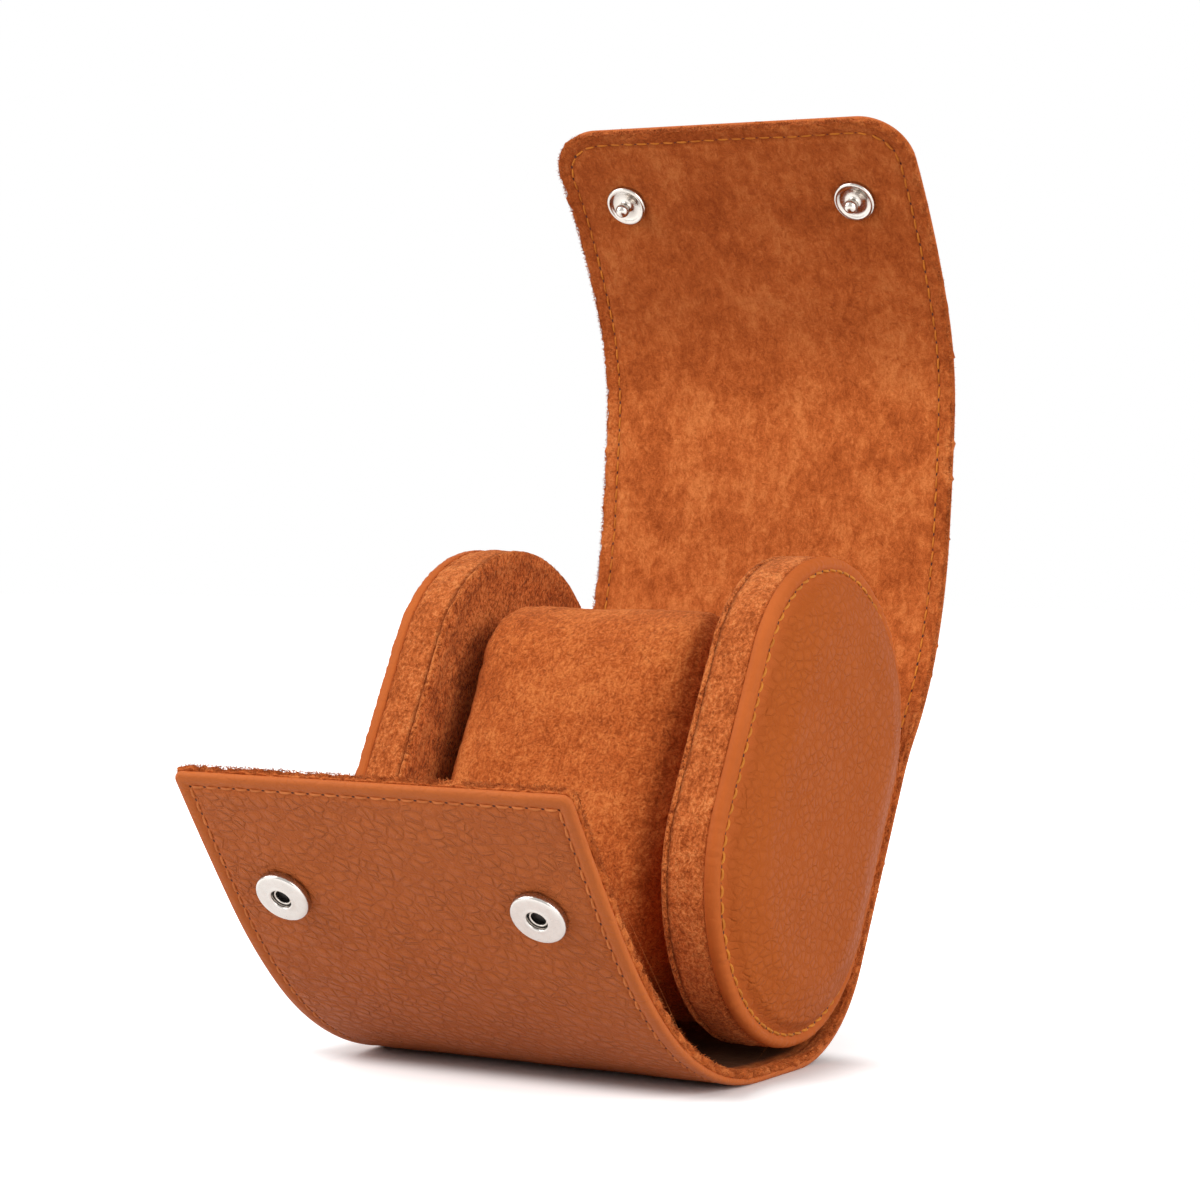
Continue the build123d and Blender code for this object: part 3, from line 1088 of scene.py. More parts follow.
                under = np.concatenate([top[:1], ids[row, count:][::-1], top[-1:]])
                faces += grid_faces(np.stack([top, under]), around=False).tolist()
        flat = np.stack([ring_x, ring_mark, ring_depth], -1).reshape(-1, 3)
        border = 1.0 - ease(ring_inset, STITCH_INSET - 0.5, STITCH_INSET + 1.5)
        return Shape(points.reshape(-1, 3), faces, flat, border.ravel())


@dataclass
class Fringe:
    """Loose fibres standing out of a raw edge of suede."""

    seed: int
    per_mm: float = 22.0
    length: tuple[float, float] = (0.4, 1.1)
    width: float = 0.12

    def grow(self, roots: Array, outward: Array, along: Array, flat: Array) -> Shape:
        """Tapered three-sided fibres with one bend, from roots given in order along the edge.

        Args:
            roots: Points on the edge, close together.
            outward: Direction away from the cloth at each root.
            along: Direction of the edge at each root.
            flat: Surface coordinates at each root.

        Returns:
            The fibres.
        """
        rng = np.random.default_rng(self.seed)
        steps = np.linalg.norm(np.diff(roots, axis=0), axis=1)
        count = int(steps.sum() * self.per_mm)
        if count < 1:
            return Shape(np.zeros((0, 3)), [], np.zeros((0, 3)), np.zeros(0))
        picked = rng.choice(len(steps), count, p=steps / steps.sum())
        share = rng.uniform(0.0, 1.0, (count, 1))
        root = roots[picked] * (1 - share) + roots[picked + 1] * share
        out, side = outward[picked], along[picked]
        up = np.cross(out, side)
        root = root + up * rng.uniform(-0.65, 0.65, (count, 1)) - out * 0.3
        lean = unit(out + side * rng.normal(0, 0.9, (count, 1)) + up * rng.normal(0, 0.7, (count, 1)))
        curl = unit(lean + rng.normal(0, 1.1, (count, 3)))
        length = rng.uniform(*self.length, (count, 1))
        middle = root + lean * length * 0.55
        tip = middle + curl * length * 0.45
        width = self.width * rng.uniform(0.7, 1.3, (count, 1))
        spin = np.array([0.0, 2.0 * math.pi / 3.0, 4.0 * math.pi / 3.0])
        first = unit(np.cross(lean, rng.normal(size=(count, 3))))
        second = np.cross(lean, first)
        ring = first[:, None] * np.cos(spin)[:, None] + second[:, None] * np.sin(spin)[:, None]
        lower = root[:, None] + ring * width[:, None] / 2
        upper = middle[:, None] + ring * width[:, None] * 0.35
        points = np.concatenate([lower, upper, tip[:, None]], axis=1).reshape(-1, 3)
        pattern = [[0, 1, 4, 3], [1, 2, 5, 4], [2, 0, 3, 5], [3, 4, 6], [4, 5, 6], [5, 3, 6], [2, 1, 0]]
        faces = repeated(pattern, count, 7)
        place = np.repeat(flat[picked] + rng.normal(0, 0.7, (count, 3)), 7, axis=0)
        return Shape(points, faces, place, np.zeros(len(points)))


@dataclass
class Stitching:
    """Saddle stitches: short lengths of thread between needle holes."""

    pitch: float = 3.4
    thread: float = 0.55
    rise: float = 0.2
    slant: float = 0.16
    rings: int = 7
    sides: int = 6
    hole: float = 0.5

    def sew(self, holes: Array, normals: Array, flat: Array) -> Shape:
        """Thread from each hole to the next, and under each end a dark lens, the painted shade of its
        needle hole.

        A stitch is a tube whose middle line runs straight between its holes, leans a little
        to one side and rises by rise * sin(pi a)^0.5 above them.

        Args:
            holes: Places of the holes in order.
            normals: Outward normals there.
            flat: Surface coordinates there.

        Returns:
            Thread with finish 0 and holes with finish 1.
        """
        start, end = holes[:-1], holes[1:]
        count = len(start)
        up = unit(normals[:-1] + normals[1:])
        ahead = unit(end - start)
        side = np.cross(up, ahead)
        share = np.linspace(0.0, 1.0, self.rings)
        inner = 0.1 + 0.8 * share
        arch = np.sqrt(np.sin(math.pi * share)) * self.rise - 0.2 * (1 - np.sin(math.pi * share)) ** 2
        middle = start[:, None] + (end - start)[:, None] * inner[None, :, None]
        middle = middle + up[:, None] * arch[None, :, None]
        middle = middle + side[:, None] * (self.slant * (0.5 - share))[None, :, None]
        radius = self.thread / 2 * (0.72 + 0.28 * np.sqrt(np.sin(math.pi * share)))
        turn = np.arange(self.sides) * 2.0 * math.pi / self.sides
        around = side[:, None] * np.cos(turn)[None, :, None] + up[:, None] * np.sin(turn)[None, :, None]
        tube = middle[:, :, None] + radius[None, :, None, None] * around[:, None]
        block = self.rings * self.sides
        ids = np.arange(block).reshape(self.rings, self.sides)
        pattern = grid_faces(ids, around=True).tolist()
        pattern += [ids[0, ::-1].tolist(), ids[-1].tolist()]
        faces = repeated(pattern, count, block)
        place = np.repeat((flat[:-1] + flat[1:]) / 2, block, axis=0) + tube.reshape(-1, 3) * 0.3
        threads = Shape(tube.reshape(-1, 3), faces, place, np.zeros(count * block), [0] * len(faces))
        return Shape.joined([threads, self._holes(holes, normals, flat)])

    def _holes(self, holes: Array, normals: Array, flat: Array) -> Shape:
        """Small dark lenses at the holes, the painted shade inside them: a fan above and a fan below a
        ring of six.

        Args:
            holes: Places of the holes.
            normals: Outward normals there.
            flat: Surface coordinates there.

        Returns:
            The lenses, with finish 1.
        """
        reference = unit(np.cross(normals, [0.31, 0.87, 0.38]))
        other = np.cross(normals, reference)
        turn = np.arange(6) * math.pi / 3.0
        ring = reference[:, None] * np.cos(turn)[None, :, None]
        ring = ring + other[:, None] * np.sin(turn)[None, :, None]
        ring = holes[:, None] + self.hole * ring - 0.02 * normals[:, None]
        top = (holes + 0.08 * normals)[:, None]
        bottom = (holes - 0.12 * normals)[:, None]
        points = np.concatenate([ring, top, bottom], axis=1).reshape(-1, 3)
        pattern = [[k, (k + 1) % 6, 6] for k in range(6)] + [[(k + 1) % 6, k, 7] for k in range(6)]
        faces = repeated(pattern, len(holes), 8)
        return Shape(points, faces, np.repeat(flat, 8, axis=0), np.zeros(len(points)), [1] * len(faces))


@dataclass
class Fold:
    """A fold of the wrap: its two bodies, and where the cloth around it begins and ends."""

    name: str
    bodies: tuple[str, str]
    near: float
    far: float
    bend: tuple[float, float]
    stands_for: tuple[str, ...]


@dataclass
class Wrap:
    """The wrap: one leather sheet and one suede lining, sewn together along their edges."""

    line: WrapLine
    finishes: Finishes
    socket_x: tuple[float, float] = (-28.75, 28.75)
    socket_from_edge: float = 28.9
    stud_x: tuple[float, float] = (-29.15, 27.95)
    stud_from_edge: tuple[float, float] = (19.0, 20.3)
    lining_inset: float = -0.3
    reach: float = 11.0
    wall_cut: float = 60.0

    def __post_init__(self) -> None:
        """Sets out the leather and the lining."""
        socket = self.line.front_tip + self.socket_from_edge
        self.sockets = [(socket, x) for x in self.socket_x]
        studs = zip(self.stud_from_edge, self.stud_x)
        self.studs = [(self.line.lid_tip - distance, x) for distance, x in studs]
        self.leather = Sheet(
            self.line, WRAP_WIDTH / 2, (0.0, LEATHER), 0.0, 0.85, self.leather_relief, Face.OUTSIDE
        )
        self.lining = Sheet(
            self.line,
            WRAP_WIDTH / 2 - self.lining_inset,
            (LEATHER - 0.3, WRAP),
            self.lining_inset,
            0.6,
            self.lining_relief,
            Face.INSIDE,
            ragged=0.3,
        )

    def leather_relief(self, mark: Array, x: Array, inset: Array) -> Array:
        """Swell of the leather: a groove under the thread, a soft roll outside it, dents at snaps.

        The groove is -0.38 bell(inset; stitch line, 0.7) and the roll 0.1 bell(inset; 1.6, 0.9).
        Waves of 0.1 and 0.05 ease in from the edge, and out again where the roll stands. Under
        each socket the leather falls by 0.32, easing out beyond its rim.

        Args:
            mark: Distance along the wrap.
            x: Place across it.
            inset: Distance in from the outline.

        Returns:
            The swell, outwards.
        """
        place = np.stack(np.broadcast_arrays(mark, x), -1)
        swell = -0.38 * bell(inset, STITCH_INSET, 0.7) + 0.1 * bell(inset, 1.6, 0.9)
        waves = 0.1 * ripple(place, 26.0, 3) * ease(inset, 1.0, 9.0)
        waves = waves + 0.05 * ripple(place, 7.0, 4) * ease(inset, 0.5, 4.0)
        swell = swell + waves * ease(np.abs(mark), 14.0, 24.0)
        for middle, centre in self.sockets:
            away = np.hypot(mark - middle, x - centre)
            swell = swell - 0.32 * bell(np.maximum(away - 5.6, 0.0), 0.0, 1.5)
        return swell

    def lining_relief(self, mark: Array, x: Array, inset: Array) -> Array:
        """Swell of the suede: a raw edge raised in lumps, nap, a groove and dents at the studs.

        Args:
            mark: Distance along the wrap.
            x: Place across it.
            inset: Distance in from the outline.

        Returns:
            The swell, inwards.
        """
        place = np.stack(np.broadcast_arrays(mark, x), -1)
        lumps = 0.22 + 0.14 * ripple(place, 2.2, 8)
        swell = lumps * bell(inset, 0.9, 0.8)
        swell = swell - 0.35 * bell(inset, STITCH_INSET - self.lining_inset, 0.6)
        swell = swell + 0.09 * ripple(place, 4.2, 6) + 0.12 * ripple(place, 22.0, 7)
        for middle, centre in self.studs:
            away = np.hypot(mark - middle, x - centre)
            swell = swell - 0.45 * bell(np.maximum(away - 4.6, 0.0), 0.0, 1.2)
        return swell

    def folds(self) -> list[Fold]:
        """The folds in order from the front tip to the lid tip.

        Each takes the cloth from the middle of one length to the middle of the next, where the
        next piece begins. On the base and wall they meet at the wall cut, above what the roll
        stands on.

        Returns:
            The folds.
        """
        marks = [*reversed(self.line.front_folds), *self.line.lid_folds]
        names = ["front_upper", "front_middle", "front_lower", "case"]
        names += [f"lid_{number}" for number in range(1, 7)]
        cuts = [self.line.front_tip]
        cuts += [(a + b) / 2 for a, b in zip(marks, marks[1:])]
        cuts[3] = self.wall_cut
        cuts.append(self.line.lid_tip)
        found = []
        for number, mark in enumerate(marks):
            near, far = cuts[number], cuts[number + 1]
            start = mark - min(self.reach, mark - near)
            end = mark + min(self.reach, far - mark)
            bodies = (names[number], names[number + 1])
            stands_for = bodies if number == len(marks) - 1 else bodies[:1]
            found.append(Fold(f"fold_{number + 1}", bodies, near, far, (start, end), stands_for))
        return found

    def bend(self, piece: bpy.types.Object, fold: Fold) -> None:
        """Bakes a piece's place into its mesh; the ends of its fold are found but not used."""
        ends = self.line.place(np.array(fold.bend), np.zeros(2), np.full(2, WRAP)) * MM
        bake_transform(piece)

    def finish_piece(self, piece: bpy.types.Object, fold: Fold, part: str) -> None:
        """Bakes a piece's place into its mesh and hides the solids that it stands for.

        Args:
            piece: The piece.
            fold: The fold that it lies across.
            part: Last word of the names of its solids.
        """
        self.bend(piece, fold)
        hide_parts(*[f"{name}_{part}" for name in fold.stands_for])

    def edge_fringe(self, fold: Fold) -> Shape:
        """Fibres along the raw edge of the lining between two marks, tips included.

        Args:
            fold: The fold whose length of edge is dressed.

        Returns:
            The fibres.
        """
        sheet = self.lining
        depth = (LEATHER + WRAP) / 2 + 0.2
        shapes = []
        marks = np.arange(fold.near, fold.far, 0.5)
        low, high = self.line.front_tip + sheet.trim, self.line.lid_tip - sheet.trim
        marks = np.clip(np.append(marks, fold.far), low, high)
        for number, sign in enumerate((-1.0, 1.0)):
            half = sheet.half_at(marks)
            roots = self.line.place(marks, sign * half, np.full_like(marks, depth))
            along = unit(np.gradient(roots, axis=0) + 1e-9)
            _, _, inward = self.line.frame(marks)
            outward = unit(np.cross(along, inward)) * sign
            outward = np.where((outward[:, :1] * sign) < 0, -outward, outward)
            flat = np.stack([sign * half, marks, np.full_like(marks, depth)], -1)
            seed = 11 + 7 * number + 2 * abs(int(fold.near))
            shapes.append(Fringe(seed=seed).grow(roots, outward, along, flat))
        tips = ((fold.near, self.line.front_tip, low), (fold.far, self.line.lid_tip, high))
        for reached, tip, edge in tips:
            if abs(reached - tip) < 1e-6:
                half = float(sheet.half_at(np.array([edge]))[0])
                x = np.linspace(-half, half, 160)
                mark = np.full_like(x, edge)
                roots = self.line.place(mark, x, np.full_like(x, depth))
                _, along, _ = self.line.frame(mark)
                outward = along if edge > 0 else -along
                flat = np.stack([x, mark, np.full_like(x, depth)], -1)
                side = np.tile([1.0, 0.0, 0.0], (len(x), 1))
                shapes.append(Fringe(seed=int(abs(edge))).grow(roots, outward, side, flat))
        return Shape.joined(shapes)

    def stitch_paths(self) -> list[tuple[Array, Array]]:
        """Marks and x of the needle holes, row by row, round the whole wrap.

        Returns:
            Marks and places across of the holes of each row.
        """
        inset, pitch = STITCH_INSET, Stitching().pitch
        side = WRAP_WIDTH / 2 - inset
        low = self.line.front_tip + inset
        corner = self.leather.lid_corner - inset
        high = self.line.lid_tip - inset
        rows = []

        def straight(start: tuple[float, float], end: tuple[float, float]) -> None:
            """Holes along a straight row, at an even pitch.

            Args:
                start: Mark and x of the first hole.
                end: Mark and x of the last hole.
            """
            count = max(1, round(math.dist(start, end) / pitch))
            share = np.linspace(0.0, 1.0, count + 1)
            marks = start[0] + (end[0] - start[0]) * share
            rows.append((marks, start[1] + (end[1] - start[1]) * share))

        for sign in (-1.0, 1.0):
            straight((low, sign * side), (high - corner, sign * side))
            turn = np.linspace(0.0, math.pi / 2, max(2, round(corner * math.pi / 2 / pitch)) + 1)
            marks = high - corner + corner * np.sin(turn)
            rows.append((marks, sign * (side - corner + corner * np.cos(turn))))
        straight((high, -(side - corner)), (high, side - corner))
        straight((low, -side), (low, side))
        return rows

    def sew(self, fold: Fold, sheet: Sheet, stitching: Stitching) -> list[Shape]:
        """Stitches of one face between two marks.

        Args:
            fold: The fold whose length is sewn.
            sheet: The sheet that the thread lies on.
            stitching: The kind of stitches.

        Returns:
            A shape for each row that has stitches there.
        """
        shapes = []
        for marks, across in self.stitch_paths():
            middles = (marks[:-1] + marks[1:]) / 2
            chosen = np.flatnonzero((middles >= fold.near) & (middles < fold.far))
            if len(chosen) == 0:
                continue
            span = slice(chosen[0], chosen[-1] + 2)
            points, normals, _ = sheet.surface(marks[span], across[span])
            flat = np.stack([across[span], marks[span], np.zeros(len(points))], -1)
            shapes.append(stitching.sew(points, normals, flat))
        return shapes

    def make(self) -> None:
        """Leather, lining and thread of every fold."""
        for fold in self.folds():
            leather = make_piece(
                f"wrap_leather_{fold.name}",
                self.leather.between(fold.near, fold.far),
                [self.finishes.leather],
            )
            self.finish_piece(leather, fold, "leather")
            lining = make_piece(
                f"wrap_lining_{fold.name}",
                self.lining.between(fold.near, fold.far),
                [self.finishes.suede],
            )
            self.finish_piece(lining, fold, "lining")
            fibres = make_piece(
                f"wrap_edge_fibres_{fold.name}",
                self.edge_fringe(fold),
                [self.finishes.edge_suede],
                weld=False,
            )
            self.bend(fibres, fold)
            outer = self.sew(fold, self.leather, Stitching())
            buried = Stitching(thread=0.48, rise=0.1)
            inner = [] if fold.name == "fold_3" else self.sew(fold, self.lining, buried)
            for row in inner:
                row.finish_of_face = [2 if number == 0 else 1 for number in row.finish_of_face]
            thread = make_piece(
                f"wrap_stitching_{fold.name}",
                Shape.joined([*outer, *inner]),
                [self.finishes.thread, self.finishes.painted_hole_shade, self.finishes.bright_thread],
                weld=False,
            )
            self.finish_piece(thread, fold, "stitching")
            log.info("%s: leather, lining and thread across %s and %s", fold.name, *fold.bodies)


# The end caps


@dataclass
class CapOutline:
    """Outline of an end cap: two straight sides joined by flattened half ellipses."""

    shift: float
    line: WrapLine
    half_depth: float = 36.4
    straight: float = 34.0
    end: float = 34.5
    centre_y: float = 5.841
    centre_z: float = 54.962
    count: int = 560
    spare: float = 0.15

    def __post_init__(self) -> None:
        """Spreads points evenly round the outline, from the middle of the wall side upwards."""
        turn = np.linspace(0.0, math.pi, 1500)
        half = self.straight / 2
        top = np.stack([self.half_depth * np.cos(turn), half + self.end * np.sin(turn)], -1)
        down = np.stack([np.full(400, -self.half_depth), np.linspace(half, -half, 400)], -1)
        bottom = -top
        up = -down
        loop = np.concatenate([top[:-1], down[:-1], bottom[:-1], up[:-1], top[:1]])
        self.length = float(walked(loop)[-1])
        self.along = np.linspace(0.0, self.length, self.count, endpoint=False)
        self.points = path_at(loop, (self.along - half) % self.length)
        tangent = unit(np.roll(self.points, -1, axis=0) - np.roll(self.points, 1, axis=0))
        self.outward = np.stack([tangent[:, 1], -tangent[:, 0]], -1)
        self.overhang = self._overhang()

    def _overhang(self) -> Array:
        """How far the leather may stand out past each point without pressing into the wrap.

        Returns:
            The room past each point, evened out along the rim.
        """
        rim = self.place(self.points, np.zeros(self.count))
        marks = np.linspace(-60.0, self.line.wall_end + 20.0, 600)
        lining = self.line.place(marks, np.zeros_like(marks), np.full_like(marks, WRAP + 0.2))
        gaps = np.linalg.norm(rim[:, None, 1:] - lining[None, :, 1:], axis=2).min(axis=1)
        room = np.clip(gaps - 0.3, 0.0, self.spare)
        near = np.arange(-12, 13)
        ids = (np.arange(self.count)[:, None] + near) % self.count
        return room[ids].mean(axis=1)

    def ring(self, inset: float) -> Array:
        """Outline drawn in by an amount: both half axes shrink in step, to a line at the middle.

        Args:
            inset: How far in, up to half the depth.

        Returns:
            The ring in the plane of the cap.
        """
        left = 1.0 - inset / self.half_depth
        spine = np.clip(self.points[:, 1], -self.straight / 2, self.straight / 2)
        return np.stack([self.points[:, 0] * left, spine + (self.points[:, 1] - spine) * left], -1)

    def place(self, flat: Array, x: Array) -> Array:
        """Points of the cap's own plane put in the roll, x along the roll.

        Args:
            flat: Points in the cap's own plane.
            x: Where along the roll they are.

        Returns:
            The points in the roll.
        """
        across, up = flat[..., 0], flat[..., 1]
        y = self.centre_y + self.shift + across * math.cos(LEAN) + up * math.sin(LEAN)
        z = self.centre_z - across * math.sin(LEAN) + up * math.cos(LEAN)
        return np.stack(np.broadcast_arrays(x, y, z), -1)

    def direction(self, flat: Array) -> Array:
        """Directions of the cap's own plane turned into the roll's.

        Args:
            flat: Directions in the cap's own plane.

        Returns:
            The directions in the roll.
        """
        y = flat[..., 0] * math.cos(LEAN) + flat[..., 1] * math.sin(LEAN)
        z = -flat[..., 0] * math.sin(LEAN) + flat[..., 1] * math.cos(LEAN)
        return np.stack([np.zeros_like(y), y, z], -1)


@dataclass
class EndCap:
    """An end cap: inner suede panel, suede band round its rim, padded leather cover and thread."""

    side: Side
    outline: CapOutline
    finishes: Finishes
    inner_x: float = 31.7
    panel: float = 1.2
    cover_x: float = 41.1
    face_x: float = 44.0
    stitch_inset: float = 2.8
    turned_in: float = 0.2

    BACK_INSETS = (30.0, 20.0, 10.0, 4.0, 1.6, 0.75, 0.4)

    def loft(self, insets: Array, xs: Array, seed: int, rough: float, closed: bool) -> Shape:
        """A skin through rings of the outline, each at an inset and an x.

        Args:
            insets: How far in each ring is.
            xs: Where along the roll each ring is.
            seed: Seed of the nap noise.
            rough: Depth of the nap noise across the surface.
            closed: Whether the last ring joins the first, as round a band.

        Returns:
            The closed shape.
        """
        rings = np.stack([self.outline.ring(float(inset)) for inset in insets])
        places = np.stack(np.broadcast_arrays(rings[..., 0], rings[..., 1], xs[:, None]), -1)
        nap = rough * ripple(places, 1.9, seed) + 0.6 * rough * ripple(places, 5.0, seed + 1)
        push = np.broadcast_to(self.outline.outward, rings.shape) * nap[..., None]
        rings = rings + push * (insets[:, None, None] < 3.0)
        x = self.side.value * np.broadcast_to(xs[:, None], rings.shape[:2])
        points = self.outline.place(rings, x)
        ids = grid_ids(points)
        if closed:
            ids = np.concatenate([ids, ids[:1]])
        faces = grid_faces(ids, around=True).tolist()
        flat = places.reshape(-1, 3)
        border = np.broadcast_to(insets[:, None], rings.shape[:2]).ravel()
        border = 1.0 - ease(border, self.stitch_inset - 0.4, self.stitch_inset + 2.5)
        return Shape(points.reshape(-1, 3), faces, flat, border)

    def cover_profile(self) -> tuple[Array, Array]:
        """Insets and x of the cover: flat back, rolled edge, groove under the thread, dome.

        The roll is an arc of an ellipse. Inside the thread the dome climbs by two eased
        steps, 1.7 over three millimetres and 2.4 over twelve, and under the thread the face
        falls by a bell.

        Returns:
            The insets and the x of the rings, from the middle of the back to that of the face.
        """
        middle = self.outline.half_depth
        back = np.array([middle, *self.BACK_INSETS])
        turn = np.linspace(-0.62, math.pi / 2, 15)
        roll_inset = 1.5 - 1.45 * np.cos(turn)
        roll_x = self.face_x - 1.83 + 1.83 * np.sin(turn)
        face = np.concatenate(
            [
                np.linspace(1.7, 2.1, 4),
                np.linspace(2.25, 3.5, 10),
                np.linspace(3.7, 7.2, 18),
                np.linspace(7.7, 12.0, 9),
                np.linspace(13.0, middle, 18),
            ]
        )
        insets = np.concatenate([back, roll_inset, face])
        rise = 1.7 * ease(face, self.stitch_inset + 0.3, self.stitch_inset + 3.3)
        rise = rise + 2.4 * ease(face, self.stitch_inset + 0.3, 15.0)
        groove = 0.4 * bell(face, self.stitch_inset, 0.7)
        xs = np.concatenate([np.full(len(back), self.cover_x), roll_x, self.face_x + rise - groove])
        return insets, xs

    def cover_shape(self) -> Shape:
        """The cover with fine creases round its turned edge and slow waves over its pad.

        Returns:
            The closed cover.
        """
        insets, xs = self.cover_profile()
        shape = self.loft(insets, xs, 31, 0.0, closed=False)
        count = self.outline.count
        inset = np.repeat(insets, count)
        along = np.tile(self.outline.along, len(insets))
        front = np.repeat(xs > self.cover_x + 0.05, count)
        loop = 2.0 * math.pi * along / self.outline.length
        circle = np.stack([np.cos(loop), np.sin(loop)], -1) * self.outline.length / (2 * math.pi)
        creases = ripple(circle, 1.7, 41) * bell(inset, 1.4, 1.5)
        waves = ripple(shape.flat, 20.0, 43) * ease(inset, 6.0, 12.0)
        lift = (0.07 * creases + 0.1 * waves + 0.03 * ripple(shape.flat, 5.5, 44)) * front
        shape.points[:, 0] += self.side.value * lift * (inset > 0.3)
        out = self.outline.direction(np.tile(self.outline.outward, (len(insets), 1)))
        room = np.tile(self.outline.overhang, len(insets))
        stand = room * bell(np.maximum(inset, 0.0), 0.0, 2.2) * front
        shape.points += out * (stand + 0.07 * creases * front)[:, None]
        return shape

    def band_profile(self) -> tuple[Array, Array]:
        """Insets and x of the band: a strip with sunk edges and a slight crown.

        Returns:
            The insets and the x of the rings.
        """
        low, high = self.inner_x + self.panel + 0.02, self.cover_x + 0.02
        x = np.concatenate([[low, low + 0.05, low + 0.2], np.linspace(low + 0.45, high - 0.45, 15)])
        x = np.concatenate([x, [high - 0.2, high - 0.05, high]])
        share = (x - low) / (high - low)
        inset = 0.45 - 0.6 * np.clip(np.sin(math.pi * share), 0.0, 1.0) ** 0.4
        return np.concatenate([inset, [1.6, 1.6]]), np.concatenate([x, [high, low]])

    def panel_profile(self) -> tuple[Array, Array]:
        """Insets and x of the inner panel: a flat plate of suede with a raw rounded rim.

        Returns:
            The insets and the x of the rings.
        """
        middle, low, high = self.outline.half_depth, self.inner_x, self.inner_x + self.panel
        rim_x = np.array([low, low + 0.06, low + 0.25, low + 0.6, high - 0.25, high - 0.06, high])
        rim = np.array([0.5, 0.22, 0.02, -0.12, 0.02, 0.2, 0.45])
        face = np.array([middle, 33.0, 28.0, 22.0, 16.0, 11.0, 7.0, 4.0, 2.2, 1.2])
        insets = np.concatenate([face, rim, face[::-1]])
        return insets, np.concatenate([np.full(len(face), low), rim_x, np.full(len(face), high)])

    def rim_fringe(self, x: float, seed: int, lift: float) -> Shape:
        """Fibres round the rim at one x.

        Args:
            x: Where along the roll the fibres stand.
            seed: Seed of the fibres.
            lift: How far out their roots are.

        Returns:
            The fibres.
        """
        ring = self.outline.ring(0.0) + self.outline.outward * lift
        ring = np.concatenate([ring, ring[:1]])
        outward = np.concatenate([self.outline.outward, self.outline.outward[:1]])
        roots = self.outline.place(ring, np.full(len(ring), self.side.value * x))
        along = unit(np.gradient(roots, axis=0))
        flat = np.stack([ring[:, 0], ring[:, 1], np.full(len(ring), x)], -1)
        fringe = Fringe(per_mm=6.0, length=(0.25, 0.7), width=0.09, seed=seed)
        return fringe.grow(roots, self.outline.direction(outward), along, flat)

    def cover_depth(self, inset: float) -> float:
        """x of the cover's face at an inset.

        Args:
            inset: Distance in from the rim, inside the rolled edge.

        Returns:
            The x there, without the side.
        """
        insets, xs = self.cover_profile()
        front = slice(1 + len(self.BACK_INSETS), None)
        return float(np.interp(inset, insets[front], xs[front]))

    def stitch_ring(self) -> Shape:
        """Stitches round the face of the cover.

        Returns:
            The thread and its holes.
        """
        stitching = Stitching(pitch=3.3, thread=0.6, rise=0.26, slant=0.3)
        ring = self.outline.ring(self.stitch_inset)
        closed = np.concatenate([ring, ring[:1]])
        length = walked(closed)[-1]
        flat = path_at(closed, np.linspace(0.0, length, round(length / stitching.pitch) + 1))
        x = self.side.value * self.cover_depth(self.stitch_inset)
        holes = self.outline.place(flat, np.full(len(flat), x))
        normals = np.tile([float(self.side.value), 0.0, 0.0], (len(flat), 1))
        return stitching.sew(holes, normals, np.concatenate([flat, np.full((len(flat), 1), x)], 1))

    def make(self) -> None:
        """The visible pieces of the cap."""
        label = self.side.name.lower()
        insets, xs = self.band_profile()
        band = self.loft(insets, xs, 51 + self.side.value, 0.09, closed=True)
        seam_x = self.inner_x + self.panel
        insets, xs = self.panel_profile()
        panel = self.loft(insets, xs, 55 + self.side.value, 0.07, closed=False)
        fibres = Shape.joined(
            [self.rim_fringe(self.cover_x - 0.3, 61, 0.05), self.rim_fringe(seam_x - 0.6, 63, 0.0)]
        )
        fringe = make_piece(f"{label}_cap_edge_fibres", fibres, [self.finishes.edge_suede], weld=False)
        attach(fringe, "case")
        made = {
            "band": make_piece(f"{label}_cap_suede_band", band, [self.finishes.band_suede]),
            "inner_panel": make_piece(f"{label}_cap_suede_panel", panel, [self.finishes.panel_suede]),
            "cover": make_piece(
                f"{label}_cap_leather_face", self.cover_shape(), [self.finishes.cap_leather]
            ),
            "stitching": make_piece(
                f"{label}_cap_thread",
                self.stitch_ring(),
                [self.finishes.cap_thread, self.finishes.painted_hole_shade],
                weld=False,
            ),
        }
        for part, piece in made.items():
            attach(piece, "case")
            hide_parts(f"{label}_cap_{part}")
        log.info("%s cap: band, panel, padded face and thread", label)


# The pillow


